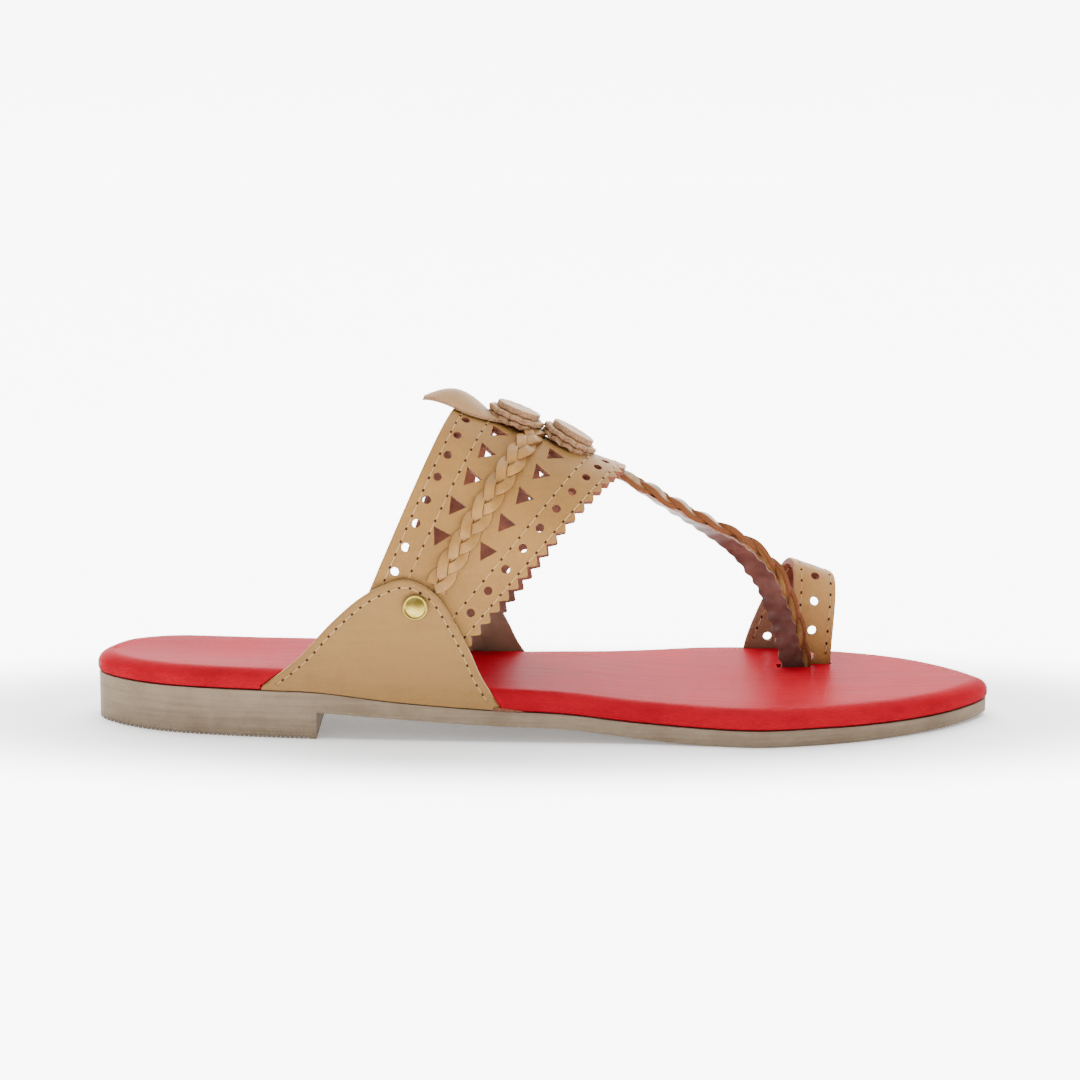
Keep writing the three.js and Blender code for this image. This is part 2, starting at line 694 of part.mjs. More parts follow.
function loopSurface(share, ahead) {
  const bounded = clamp(share, 0, 1);
  const angle = bounded * Math.PI;
  const power = 2 / LOOP_SQUARENESS;
  const height = lerp(LOOP_HEIGHT_REAR, LOOP_HEIGHT_FRONT, ahead / LOOP_WIDTH);
  const aside = (1 - Math.sign(Math.cos(angle)) * Math.abs(Math.cos(angle)) ** power) / 2;
  const x = LOOP_NEAR_AT + LOOP_LEAN * Math.sin(angle) - LOOP_BACKSET * bounded ** 3 + ahead;
  const rise = height * Math.sin(angle) ** power;
  return new THREE.Vector3(x, LOOP_NEAR_ASIDE + LOOP_SPAN * aside, insoleTop(x) + rise);
}

function toeLoop() {
  const steps = 18;
  const rings = [];
  const columns = [0, LOOP_WIDTH / 2, LOOP_WIDTH];
  const half = LOOP_THICKNESS / 2;
  const foot = (share) =>
    [-1, 1].flatMap((face) => {
      const points = columns.map((ahead) => {
        const point = loopSurface(share, ahead);
        return new THREE.Vector3(point.x, point.y - face * (share ? -half : half), baseHeight(point.x));
      });
      return face < 0 ? points : points.toReversed();
    });
  for (let i = 0; i <= steps; i += 1) {
    const share = i / steps;
    const outer = columns.map((ahead) => lifted(loopSurface, share, ahead, -half));
    const inner = columns.map((ahead) => lifted(loopSurface, share, ahead, half));
    rings.push([...outer, ...inner.toReversed()]);
  }
  const solid = loft([foot(0), ...rings, foot(1)]);
  return LOOP_HOLES.reduce(
    (left, share) =>
      left.subtract(punch(loopSurface, share, LOOP_WIDTH / 2, LOOP_HOLE_DIAMETER / 2, 8)),
    solid,
  );
}

const LOOP_HOLES = [0.012, 0.088, 0.21, 0.36, 0.5, 0.65, 0.8, 0.9, 0.976];

// Side tabs

// A tab's shape between two lifts off the form, grown by a margin at its ends and upper edge.
function tabShape(side, inner, outer, margin) {
  const steps = 20;
  const rings = [];
  for (let i = 0; i <= steps; i += 1) {
    const along = i / steps;
    const x = tabRear(side) + TAB_LENGTH * along + margin * (2 * along - 1);
    const up = tabTop(x, side) + margin;
    const put = (rise, lift) => {
      const point = lifted(form, shareUp(x, side, rise), x, lift);
      return rise ? point : point.setZ(point.z - margin);
    };
    const bevelled = Math.max(up - (margin ? 0 : TAB_BEVEL), up / 2);
    const outside = [0, 0.5, 1].map((share) => put(share * bevelled, outer));
    const inside = [0, 0.5, 1].map((share) => put(share * up, inner));
    rings.push([...outside, ...inside.toReversed()]);
  }
  return loft(rings);
}

function sideTab(side) {
  const tab = tabShape(side, CLEARANCE, CLEARANCE + TAB_THICKNESS, 0);
  return tab.subtract(rivetHole(side));
}

// Rivets: a domed head outside the tab, a shank, and a burr inside the band

const rivetX = (side) => RIVET_AT + (side < 0 ? 0 : MEDIAL_SHIFT);
const rivetUp = (side) => RIVET_UP * (tabHeight(side) / TAB_HEIGHT_LATERAL);
const rivetShare = (side) => shareUp(rivetX(side), side, rivetUp(side));

function rivetHole(side) {
  const radius = SHANK_DIAMETER / 2 + CLEARANCE;
  return punch(form, rivetShare(side), rivetX(side), radius, 12);
}

function rivet() {
  const head = TAB_THICKNESS + 2 * CLEARANCE;
  const back = -BAND_THICKNESS - CLEARANCE;
  const radius = RIVET_DIAMETER / 2;
  const profile = [
    [0, back - BURR_THICKNESS],
    [BURR_DIAMETER / 2, back - BURR_THICKNESS],
    [BURR_DIAMETER / 2, back],
    [SHANK_DIAMETER / 2, back],
    [SHANK_DIAMETER / 2, head],
    [radius, head],
    [radius, head + RIVET_HEIGHT * 0.55],
    [radius * 0.93, head + RIVET_HEIGHT * 0.8],
    [radius * 0.82, head + RIVET_HEIGHT * 0.7],
    [radius * 0.45, head + RIVET_HEIGHT * 0.95],
    [0, head + RIVET_HEIGHT],
  ];
  return new THREE.LatheGeometry(
    profile.map(([r, y]) => new THREE.Vector2(r, y)),
    14,
  );
}

// Leaf and rosettes

function leaf() {
  const steps = 12;
  const rings = [];
  for (let i = 0; i <= steps; i += 1) {
    const along = i / steps;
    const x = LEAF_TIP + LEAF_LENGTH * along;
    const swell = Math.sin(Math.PI * clamp(0.04 + 0.9 * along ** 0.9, 0, 1)) ** 0.8;
    const half = (LEAF_WIDTH / 2) * swell;
    const overhang = clamp((CREST_REAR - x) / (CREST_REAR - LEAF_TIP), 0, 1);
    const lift = CLEARANCE - LEAF_DROOP * overhang ** 2;
    const crown = LEAF_CROWN * Math.sin(Math.PI * Math.min(along / LEAF_CROWNED, 1));
    const put = (across, up) =>
      lifted(form, shareAside(x, across * half), x, up + crown * (1 - across ** 2));
    const columns = [-1, -0.5, 0, 0.5, 1];
    const over = columns.map((across) => put(across, lift + LEAF_THICKNESS));
    const under = columns.map((across) => put(across, lift));
    rings.push([...over, ...under.toReversed()]);
  }
  return loft(rings);
}

// A disc on its own middle plane; its edge has lobes where a depth is given.
function disc(diameter, lobeDepth, points) {
  const shape = new THREE.Shape();
  for (let i = 0; i < points; i += 1) {
    const angle = (2 * Math.PI * i) / points;
    const lobe = Math.abs(Math.cos((ROSETTE_LOBES * angle) / 2));
    const radius = diameter / 2 - lobeDepth * (1 - lobe);
    const place = [radius * Math.cos(angle), radius * Math.sin(angle)];
    if (i === 0) shape.moveTo(...place);
    else shape.lineTo(...place);
  }
  const flat = new THREE.ExtrudeGeometry(shape, { depth: ROSETTE_THICKNESS, bevelEnabled: false });
  return flat.translate(0, 0, -ROSETTE_THICKNESS / 2);
}

// Assembly

const leatherTan = new THREE.MeshStandardMaterial({ color: 0xcda67c, roughness: 0.62, metalness: 0 });
const leatherTab = new THREE.MeshStandardMaterial({ color: 0xb8936a, roughness: 0.6, metalness: 0 });
const leatherRed = new THREE.MeshStandardMaterial({ color: 0xc8202a, roughness: 0.42, metalness: 0 });
const soleTaupe = new THREE.MeshStandardMaterial({ color: 0xa6947f, roughness: 0.75, metalness: 0 });
const brass = new THREE.MeshStandardMaterial({ color: 0xc9bc85, roughness: 0.35, metalness: 1 });

const shoe = new THREE.Group();
function piece(name, geometry, material) {
  const mesh = new THREE.Mesh(geometry, material);
  mesh.name = name;
  shoe.add(mesh);
  return mesh;
}

piece("outsole", geometryOf(outsole()), soleTaupe);
piece("insole", geometryOf(insole()), leatherRed);
piece("upper", geometryOf(upper()), leatherTan);
piece("toe_loop", geometryOf(toeLoop()), leatherTan);

for (const [name, side] of [["lateral", -1], ["medial", 1]]) {
  piece("side_tab_" + name, geometryOf(sideTab(side)), leatherTab);
  const mesh = piece("rivet_" + name, geometryOf(solidOf(rivet())), brass);
  const foot = lifted(form, rivetShare(side), rivetX(side), 0);
  const normal = lifted(form, rivetShare(side), rivetX(side), 1).sub(foot);
  mesh.position.copy(foot);
  mesh.quaternion.setFromUnitVectors(new THREE.Vector3(0, 1, 0), normal.normalize());
}

piece("leaf", geometryOf(leaf()), leatherTan);

// A rosette is a group that stands on the crest, with a scalloped disc under a smooth one.
function rosette(name, x, slope, lift) {
  const group = new THREE.Group();
  group.position.copy(lifted(form, 0, x, lift));
  group.rotation.y = THREE.MathUtils.degToRad(slope);
  const scalloped = disc(ROSETTE_DIAMETER, ROSETTE_LOBE_DEPTH, 3 * ROSETTE_LOBES);
  const lower = new THREE.Mesh(scalloped, leatherTan);
  lower.name = "rosette_" + name + "_scalloped";
  const higher = new THREE.Mesh(disc(DISC_DIAMETER, 0, 26), leatherTan);
  higher.name = "rosette_" + name + "_disc";
  higher.position.z = ROSETTE_THICKNESS + CLEARANCE;
  group.add(lower, higher);
  shoe.add(group);
}

const seatOnPlait = BAND_PLAIT_HEIGHT + CLEARANCE + ROSETTE_THICKNESS / 2;
rosette("rear", REAR_ROSETTE_AT, REAR_ROSETTE_SLOPE, seatOnPlait);
rosette("front", FRONT_ROSETTE_AT, FRONT_ROSETTE_SLOPE, FRONT_ROSETTE_LIFT);

// The origin lies on the ground under the middle of the shoe's box.
const sandal = new THREE.Group();
sandal.add(shoe);
sandal.updateMatrixWorld(true);
const box = new THREE.Box3().setFromObject(shoe, true);
const middle = box.getCenter(new THREE.Vector3());
shoe.position.set(-middle.x, -middle.y, -box.min.z);

export default sandal;
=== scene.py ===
# %% [markdown]
# # A kolhapuri sandal, dressed for the camera
# The imported CAD model gives every piece its place and size. Blender adds what CAD leaves plain:
# rounded leather edges, plaits of real strands, stitches, linings and the finish of each surface.
# The frame is loaded first, and its box is kept, so that the end can set it beside the finished
# scene's box.

# %% Load the frame
import math

import bmesh
import bpy
import numpy as np
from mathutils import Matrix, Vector
from mathutils.kdtree import KDTree


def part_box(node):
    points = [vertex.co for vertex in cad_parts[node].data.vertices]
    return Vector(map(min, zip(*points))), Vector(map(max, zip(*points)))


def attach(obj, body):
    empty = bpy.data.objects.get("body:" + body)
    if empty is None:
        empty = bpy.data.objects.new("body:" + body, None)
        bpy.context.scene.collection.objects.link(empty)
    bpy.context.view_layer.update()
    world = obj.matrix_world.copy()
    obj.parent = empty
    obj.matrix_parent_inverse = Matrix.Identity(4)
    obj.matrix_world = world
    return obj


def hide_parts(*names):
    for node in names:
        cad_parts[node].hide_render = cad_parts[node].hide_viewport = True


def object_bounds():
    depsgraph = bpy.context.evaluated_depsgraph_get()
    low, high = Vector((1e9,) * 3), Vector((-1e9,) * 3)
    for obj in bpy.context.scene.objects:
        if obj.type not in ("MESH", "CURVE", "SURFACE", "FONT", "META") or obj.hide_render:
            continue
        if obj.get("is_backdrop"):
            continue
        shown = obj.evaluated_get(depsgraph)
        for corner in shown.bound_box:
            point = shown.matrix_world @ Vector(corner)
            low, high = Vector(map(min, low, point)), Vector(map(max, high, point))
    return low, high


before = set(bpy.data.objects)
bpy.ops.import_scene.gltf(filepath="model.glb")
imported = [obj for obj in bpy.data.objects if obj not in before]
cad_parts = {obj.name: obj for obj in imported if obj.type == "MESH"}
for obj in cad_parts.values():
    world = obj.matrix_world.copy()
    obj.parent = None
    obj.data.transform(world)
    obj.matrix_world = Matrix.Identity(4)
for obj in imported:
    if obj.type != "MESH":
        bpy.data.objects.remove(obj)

cad_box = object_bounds()
print("CAD nodes:", ", ".join(sorted(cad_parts)))

# %% [markdown]
# ## The last
# A shoemaker starts from a last. Here the last is a few tables in the shoe's own sizes, in
# millimetres, with the back of the heel near X = 0. Each table column is read through a smooth
# line, so that a few rows are enough for a whole sole.

# %% Tables and smooth lines
def table(columns, *rows):
    """Rows of numbers as one array for each named column."""
    return dict(zip(columns.split(), np.array(rows, float).T))


def smooth(rows, key, column):
    """A smooth line through one column of a table: a cubic through each pair of rows."""
    places, values = rows[key], rows[column]
    last = len(places) - 1

    def at(place):
        place = np.clip(place, places[0], places[last])
        high = np.clip(np.searchsorted(places, place, side="right"), 1, last)
        low = high - 1
        before = np.where(high >= 2, high - 2, high)
        after = np.where(high < last, high + 1, low)
        span = places[high] - places[low]
        w0 = span / 2 / (places[low] - places[np.minimum(before, last)])
        w1 = span / 2 / (places[np.minimum(after, last)] - places[high])
        p = (place - places[low]) / span
        return (
            (-w0 * p**3 + 2 * w0 * p**2 - w0 * p) * values[before]
            + ((1 + w0) * p**3 + (-1.5 - 2 * w0) * p**2 + (w0 - 0.5) * p + 1) * values[low]
            + ((-1 - w1) * p**3 + (1.5 + w1) * p**2 + 0.5 * p) * values[high]
            + (w1 * p**3 - w1 * p**2) * values[np.minimum(after, last)]
        )

    return at


def spline(controls, share, closed=False):
    """Points of a centripetal curve through controls, at shares that count the controls evenly."""
    controls = np.asarray(controls, float)
    if closed:
        run = np.vstack([controls[-1:], controls, controls[:2]])
        place = np.mod(share, 1) * len(controls)
    else:
        ends = 2 * controls[[0, -1]] - controls[[1, -2]]
        run = np.vstack([ends[:1], controls, ends[1:]])
        place = np.clip(share, 0, 1 - 1e-9) * (len(controls) - 1)
    at = np.floor(place).astype(int)
    w = (place - at)[:, None]
    p0, p1, p2, p3 = (run[at + k] for k in range(4))
    steps = ((p0, p1), (p1, p2), (p2, p3))
    d0, d1, d2 = (np.sqrt(np.linalg.norm(b - a, axis=1))[:, None] for a, b in steps)
    t1 = ((p1 - p0) / d0 - (p2 - p0) / (d0 + d1) + (p2 - p1) / d1) * d1
    t2 = ((p2 - p1) / d1 - (p3 - p1) / (d1 + d2) + (p3 - p2) / d2) * d1
    return (
        p1 + t1 * w + (3 * (p2 - p1) - 2 * t1 - t2) * w**2 + (2 * (p1 - p2) + t1 + t2) * w**3
    )


# %% [markdown]
# The sole's outline is one closed curve. Its rows hold shares of the length and of the ball's
# width, so the left column of numbers walks from heel to toe. Drawing it by hand as a curve
# would do as well, but the CAD model uses the same table, and so the two can't drift apart.

# %% The sole's outline
SOLE_LENGTH = 256.5
BALL_WIDTH = 90
OUTLINE = table(
    "at lateral medial",
    (0.003, 0.05, 0.106),
    (0.021, 0.12, 0.204),
    (0.049, 0.187, 0.253),
    (0.082, 0.239, 0.274),
    (0.125, 0.278, 0.262),
    (0.188, 0.316, 0.237),
    (0.281, 0.353, 0.223),
    (0.391, 0.378, 0.24),
    (0.508, 0.396, 0.282),
    (0.605, 0.411, 0.429),
    (0.684, 0.444, 0.529),
    (0.734, 0.461, 0.538),
    (0.789, 0.433, 0.52),
    (0.844, 0.38, 0.478),
    (0.895, 0.307, 0.416),
    (0.938, 0.222, 0.32),
    (0.973, 0.122, 0.189),
    (0.993, 0.039, 0.078),
)
HEEL_BACK = (-0.003, 0.028)
TOE_TIP = (1, 0.02)
lateral_edge = smooth(OUTLINE, "at", "lateral")
medial_edge = smooth(OUTLINE, "at", "medial")
outer = np.stack([OUTLINE["at"] * SOLE_LENGTH, -OUTLINE["lateral"] * BALL_WIDTH], 1)
inner = np.stack([OUTLINE["at"] * SOLE_LENGTH, OUTLINE["medial"] * BALL_WIDTH], 1)
ends = (HEEL_BACK, TOE_TIP)
heel_back, toe_tip = (np.array([[at * SOLE_LENGTH, y * BALL_WIDTH]]) for at, y in ends)
OUTLINE_CONTROLS = np.vstack([heel_back, outer, toe_tip, inner[::-1]])


def unit(vectors):
    """Vectors with length one, for one vector or for rows of them."""
    return vectors / np.linalg.norm(vectors, axis=-1, keepdims=True)


def outline(inset, count):
    """The outline moved in by an inset: up the outer side, then back down the inner side."""
    share = (np.arange(count) + 0.5) / count
    behind, ahead = (spline(OUTLINE_CONTROLS, share + step, True) for step in (-1e-4, 1e-4))
    ahead = unit(ahead - behind)
    return spline(OUTLINE_CONTROLS, share, True) + inset * np.stack([-ahead[:, 1], ahead[:, 0]], 1)


print("outline:", len(OUTLINE_CONTROLS), "points,", SOLE_LENGTH, "mm long")

# %% [markdown]
# From the side the sole unit is thick at the heel, thin under the ball and lifted a little at
# the toe, and its arch leaves the ground from the heel's breast to the ball. Two tables hold
# these lines as shares, and the insole simply lies on the top one.

# %% The sole's heights
HEEL_HEIGHT = 13.4
SOLE_THICKNESS = 4.7
TOE_THICKNESS = 3.8
TOE_SPRING = 1.2
HEEL_LENGTH = 64.5
BREAST_HEIGHT = 7.5
INSOLE_THICKNESS = 5.5
CLEARANCE = 0.3
TOP = table(
    "at step",
    (0, 1),
    (0.25, 0.98),
    (0.34, 0.71),
    (0.45, 0.49),
    (0.52, 0.4),
    (0.6, 0.15),
    (0.7, 0),
    (0.8, 0),
)
BALL_FROM, BALL_TO = 0.7, 0.8
ARCH = table(
    "along rise",
    (0, 1),
    (0.2, 0.81),
    (0.44, 0.6),
    (0.6, 0.52),
    (0.8, 0.16),
    (0.9, 0.04),
    (1, 0),
)
top_step = smooth(TOP, "at", "step")
arch_rise = smooth(ARCH, "along", "rise")


def past_ball(x):
    return np.clip((np.asarray(x) / SOLE_LENGTH - BALL_TO) / (1 - BALL_TO), 0, 1)


def sole_top(x):
    past = past_ball(x)
    step = np.clip(top_step(np.clip(np.asarray(x) / SOLE_LENGTH, 0, 1)), 0, 1)
    thickness = SOLE_THICKNESS + (TOE_THICKNESS - SOLE_THICKNESS) * past
    return thickness + TOE_SPRING * past**2 + (HEEL_HEIGHT - SOLE_THICKNESS) * step


def sole_bottom(x):
    ball = BALL_FROM * SOLE_LENGTH
    rise = BREAST_HEIGHT * np.clip(arch_rise((x - HEEL_LENGTH) / (ball - HEEL_LENGTH)), 0, 1)
    return np.where(x >= ball, TOE_SPRING * past_ball(x) ** 2, rise)


def base_height(x):
    return sole_top(x) + CLEARANCE


def insole_top(x):
    return base_height(x) + INSOLE_THICKNESS


print("sole top, heel to toe:", sole_top(np.linspace(0, SOLE_LENGTH, 6)).round(1), "mm")

# %% [markdown]
# The row's origin lies under the middle of the CAD box, and the tables start at the heel. The
# outline, taken at the same points as the CAD insole's, gives the step between the two frames.

# %% From the shoe's sizes to the row's frame
cad_outline = outline(0, 2 * len(OUTLINE_CONTROLS))
ORIGIN = np.append((cad_outline.min(0) + cad_outline.max(0)) / 2, 0)
MM = 0.001


def to_frame(points):
    """Millimetres of the shoe as metres of the row's frame."""
    return (np.asarray(points, float) - ORIGIN) * MM


heel_off = to_frame([cad_outline[0][0], 0, 0])[0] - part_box("insole")[0][0]
print("origin in the shoe's sizes:", ORIGIN.round(2), "and the heel off by", round(heel_off, 5))

# %% [markdown]
# Band and tabs lie on one form, as leather does on a last: at each place along the foot, an
# arch that is a little squarer than an ellipse. A share runs from -1 at the outer foot of the
# arch over the crest at 0 to 1 at the inner foot, so a strip is easy to lay on it.

# %% The form under band and tabs
BAND_THICKNESS = 2.2
TAB_THICKNESS = 2
TAB_INSET = 0.3
BAND_INSET = TAB_INSET + TAB_THICKNESS + CLEARANCE
CREST_REAR = 103
CREST_FRONT = 151.6
CREST_HEIGHT_REAR = 90.6
CREST_HEIGHT_FRONT = 72.7
ARCH_SQUARENESS = 2.4
CREST_SLOPE = (CREST_HEIGHT_REAR - CREST_HEIGHT_FRONT) / (CREST_FRONT - CREST_REAR)
QUARTER = np.linspace(0, math.pi / 2, 201)


def crest_height(x):
    return CREST_HEIGHT_REAR - CREST_SLOPE * (x - CREST_REAR)


def arch_size(side, x):
    edge = np.where(side < 0, lateral_edge(x / SOLE_LENGTH), medial_edge(x / SOLE_LENGTH))
    return edge * BALL_WIDTH - BAND_INSET, crest_height(x) - base_height(x)


def arch_lengths(width, height):
    """How far along a quarter arch each of its angles lies."""
    power = 2 / ARCH_SQUARENESS
    across = width[..., None] * np.abs(np.cos(QUARTER)) ** power
    up = height[..., None] * np.sin(QUARTER) ** power
    steps = np.hypot(np.diff(across), np.diff(up))
    return np.concatenate([np.zeros(width.shape + (1,)), np.cumsum(steps, -1)], -1)


def form(share, x):
    """Points of the form, for arrays of shares and of places along the foot."""
    share, x = np.broadcast_arrays(np.asarray(share, float), np.asarray(x, float))
    side = np.where(share < 0, -1.0, 1.0)
    width, height = arch_size(side, x)
    lengths = arch_lengths(width, height)
    target = (1 - np.clip(np.abs(share), 0, 1)) * lengths[..., -1]
    low = np.clip((lengths <= target[..., None]).sum(-1) - 1, 0, len(QUARTER) - 2)
    start = np.take_along_axis(lengths, low[..., None], -1)[..., 0]
    end = np.take_along_axis(lengths, low[..., None] + 1, -1)[..., 0]
    angle = (low + (target - start) / (end - start)) * (QUARTER[1] - QUARTER[0])
    power = 2 / ARCH_SQUARENESS
    across = width * np.abs(np.cos(angle)) ** power
    return np.stack([x, side * across, base_height(x) + height * np.sin(angle) ** power], -1)


def half_arch(x, side):
    width, height = arch_size(np.asarray(side, float), np.asarray(x, float))
    return arch_lengths(width, height)[..., -1]


print("crest's middle:", form(0, (CREST_REAR + CREST_FRONT) / 2).round(1))

# %% [markdown]
# What lies on the form is lifted off it squarely. That direction comes from two short steps over
# the surface, so it serves any surface of two shares and needs no formula for each.

# %% Square off a surface
SHARE_STEP = 0.004


def normals(surface, share, x):
    """The outward directions of a surface at shares and places."""
    along = surface(share + SHARE_STEP, x) - surface(share - SHARE_STEP, x)
    across = surface(share, x + 0.5) - surface(share, x - 0.5)
    return unit(np.cross(across, along))


def lifted(surface, share, x, lift):
    """A point of a surface, moved off it along its normal."""
    lift = np.asarray(lift, float)
    return surface(share, x) + normals(surface, share, x) * lift[..., None]


print("outward at the crest:", normals(form, np.array(0.0), np.array(CREST_REAR)).round(2))

# %% [markdown]
# ## Turning numbers into meshes
# Nearly every piece is a wall: a grid of points outside, one inside, and a rim that joins them.
# Bmesh could add the faces one by one, but `from_pydata` takes whole arrays at once, which is
# quicker and keeps each piece down to the formula of its surface.

# %% Make a piece
def make(name, points, faces, slot, smooth_angle=40):
    """A mesh object from millimetre points, facing out, riding with the shoe."""
    mesh = bpy.data.meshes.new(name)
    mesh.from_pydata(to_frame(points).tolist(), [], [list(map(int, f)) for f in faces])
    shape = bmesh.new()
    shape.from_mesh(mesh)
    bmesh.ops.recalc_face_normals(shape, faces=shape.faces)
    shape.to_mesh(mesh)
    shape.free()
    mesh.shade_smooth()
    mesh.set_sharp_from_angle(angle=math.radians(smooth_angle))
    piece = bpy.data.objects.new(name, mesh)
    bpy.context.scene.collection.objects.link(piece)
    if slot:
        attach(piece, "root")
    return piece


# %% [markdown]
# A grid's faces follow from its counts alone, and a closed solid is a row of equal rings with a
# cap at each end. A wall is the same thing again: each ring goes out over its top and back under.

# %% Grids and walls
def grid_faces(rows, columns, wrap=False):
    """The quads of a grid whose points are stored row by row. A wrapped grid closes on itself."""
    i = np.arange(rows - 1)[:, None]
    j = np.arange(columns if wrap else columns - 1)[None, :]
    k = (j + 1) % columns
    quads = [i * columns + j, i * columns + k, (i + 1) * columns + k, (i + 1) * columns + j]
    return np.stack(np.broadcast_arrays(*quads), -1).reshape(-1, 4)


def loft(rings):
    """A closed solid through equal rings. Its caps join each point of a ring to its mirror one."""
    rings = np.asarray(rings, float)
    rows, size = rings.shape[:2]
    faces = [grid_faces(rows, size, wrap=True)]
    i = np.arange(size // 2 - 1)
    for base, turn in ((0, 1), ((rows - 1) * size, -1)):
        cap = np.stack([i + 1, i, size - 1 - i, size - 2 - i], -1) + base
        faces.append(cap[:, ::turn])
    return rings.reshape(-1, 3), np.vstack(faces)


def wall(top, under):
    """A closed wall between two grids of the same shape, as points and faces."""
    return loft(np.concatenate([top, under[:, ::-1]], 1))


# %% [markdown]
# ## Shader maths that reads like maths
# A node tree for `0.3 + 0.7 * noise` is three boxes and four wires. The small class below wraps a
# socket, so that Python's own signs add the Math nodes. `Finish` makes a material, and its one
# `node` method makes any other node from its settings and the values of its sockets.

# %% A value
def signs(operation):
    """One of Python's signs as a Math node, with the value on its left and on its right."""
    return (
        lambda self, other: self.sum(operation, self, other),
        lambda self, other: self.sum(operation, other, self),
    )


class Value:
    """A socket that does sums."""

    __add__, __radd__ = signs("ADD")
    __sub__, __rsub__ = signs("SUBTRACT")
    __mul__, __rmul__ = signs("MULTIPLY")

    def __init__(self, finish, socket):
        self.finish, self.socket = finish, socket

    def sum(self, operation, *values):
        return self.finish.node("Math", dict(enumerate(values)), operation=operation)[0]

    def ramp(self, low, high):
        """0 below low and 1 above high, with a soft step between."""
        inputs = {"Value": self, "From Min": low, "From Max": high}
        return self.finish.node("MapRange", inputs, interpolation_type="SMOOTHSTEP")[0]


# %% [markdown]
# Colours are written as web codes, because they are short and easy to compare with a picture. A
# shader counts light evenly and a web code doesn't, so each part is bent back first.

# %% A web colour
def colour(code):
    """A web colour as the linear red, green, blue and alpha that a shader takes."""
    parts = [int(code[i : i + 2], 16) / 255 for i in (1, 3, 5)]
    return (*[p / 12.92 if p < 0.04045 else ((p + 0.055) / 1.055) ** 2.4 for p in parts], 1)


print("mid grey for a shader:", colour("#808080"))

# %% [markdown]
# A finish starts from Blender's principled shader. Numbers that are the same all over go straight
# to its sockets, and `feed` links what changes over the surface.

# %% A finish
class Finish:
    """A material that is built by expressions."""

    def __init__(self, name, **constants):
        self.material = bpy.data.materials.new(name)
        self.material.use_nodes = True
        self.tree = self.material.node_tree
        self.shader = self.tree.nodes["Principled BSDF"]
        self.place = self.node("TexCoord")["Object"]
        for socket, value in constants.items():
            self.shader.inputs[socket.replace("_", " ")].default_value = value

    def node(self, kind, inputs=None, **settings):
        """A node, as its outputs by name or number."""
        made = self.tree.nodes.new("ShaderNode" + kind)
        for key, value in settings.items():
            setattr(made, key, value)
        for key, value in (inputs or {}).items():
            if isinstance(value, Value):
                self.tree.links.new(value.socket, made.inputs[key])
            else:
                made.inputs[key].default_value = value
        outputs = {i: Value(self, s) for i, s in enumerate(made.outputs)}
        outputs.update({s.name: outputs[i] for i, s in enumerate(made.outputs)})
        return outputs

    def mix(self, low, high, factor):
        """A colour between two colours, each a link or a web code."""
        low, high = (colour(c) if isinstance(c, str) else c for c in (low, high))
        return self.node("Mix", {0: factor, 6: low, 7: high}, data_type="RGBA")[2]

    def stretched(self, x, y, z):
        """The place on the object, stretched by three factors."""
        return self.node("VectorMath", {0: self.place, 1: (x, y, z)}, operation="MULTIPLY")[0]

    def noise(self, scale, detail=2, roughness=0.5, place=None):
        inputs = {"Vector": place or self.place, "Scale": scale}
        return self.node("TexNoise", {**inputs, "Detail": detail, "Roughness": roughness})[0]

    def cells(self, scale):
        return self.node("TexVoronoi", {"Vector": self.place, "Scale": scale})["Distance"]

    def attribute(self, name):
        return self.node("Attribute", attribute_name=name)["Fac"]

    def feed(self, **sockets):
        """Links values to the shader's sockets, and a height in millimetres to its normal."""
        height = sockets.pop("height", None)
        if height is not None:
            inputs = {"Strength": 1, "Distance": MM, "Height": height}
            sockets["Normal"] = self.node("Bump", inputs)[0]
        for key, value in sockets.items():
            socket = self.shader.inputs[key.replace("_", " ")]
            if isinstance(value, Value):
                self.tree.links.new(value.socket, socket)
            else:
                socket.default_value = value
        return self.material


# %% [markdown]
# ## Leathers
# Smooth vegetable-tanned leather has three scales: pores of a third of a millimetre, a fine
# crackle between them, and soft clouds of tone a few centimetres wide. Voronoi cells give the
# pores and noise gives the clouds. The same recipe serves band and tabs in two tones, and the
# toe loop in a paler copy of the band's tone: painted light, because less light reaches the loop.

# %% Grain leather
def grain_leather(name, light, dark, streaks):
    finish = Finish(name, Specular_IOR_Level=0.2)
    pores = finish.cells(2600)
    fine = finish.noise(1500, 3)
    cloud = finish.noise(38, 3, 0.6)
    brushed = finish.noise(1, 4, 0.6, finish.stretched(60, 60, 420))
    tone = cloud * 0.65 + brushed * streaks + fine * 0.2
    base = finish.mix(dark, light, tone.ramp(0.22, 0.72))
    rough = 0.5 + 0.16 * cloud + 0.1 * pores
    return finish.feed(Base_Color=base, Roughness=rough, height=0.05 * pores + 0.05 * fine)


LEATHER = grain_leather("leather_tan", "#8a6433", "#725126", 0.15)
# Painted light: the loop's leather is the band's, made paler for the loop's lesser light.
LOOP_PAINTED_LIGHT_LEATHER = grain_leather("leather_loop_painted_light", "#9c7341", "#845f33", 0.15)
TAB_LEATHER = grain_leather("leather_tab", "#805e32", "#6b4e26", 0.35)
print("grain leathers:", LEATHER.name, LOOP_PAINTED_LIGHT_LEATHER.name, TAB_LEATHER.name)

# %% [markdown]
# The lining is a thin split leather, dyed reddish brown and a little waxy. Near its foot it is
# painted paler: painted light, where more light falls on the low inside than higher up.
# Cut edges show the raw middle of the hide, which is fibrous and darker than the grain.

# %% Lining and cut edges
PAINTED_LIGHT_HEIGHTS = (0.022, 0.032)


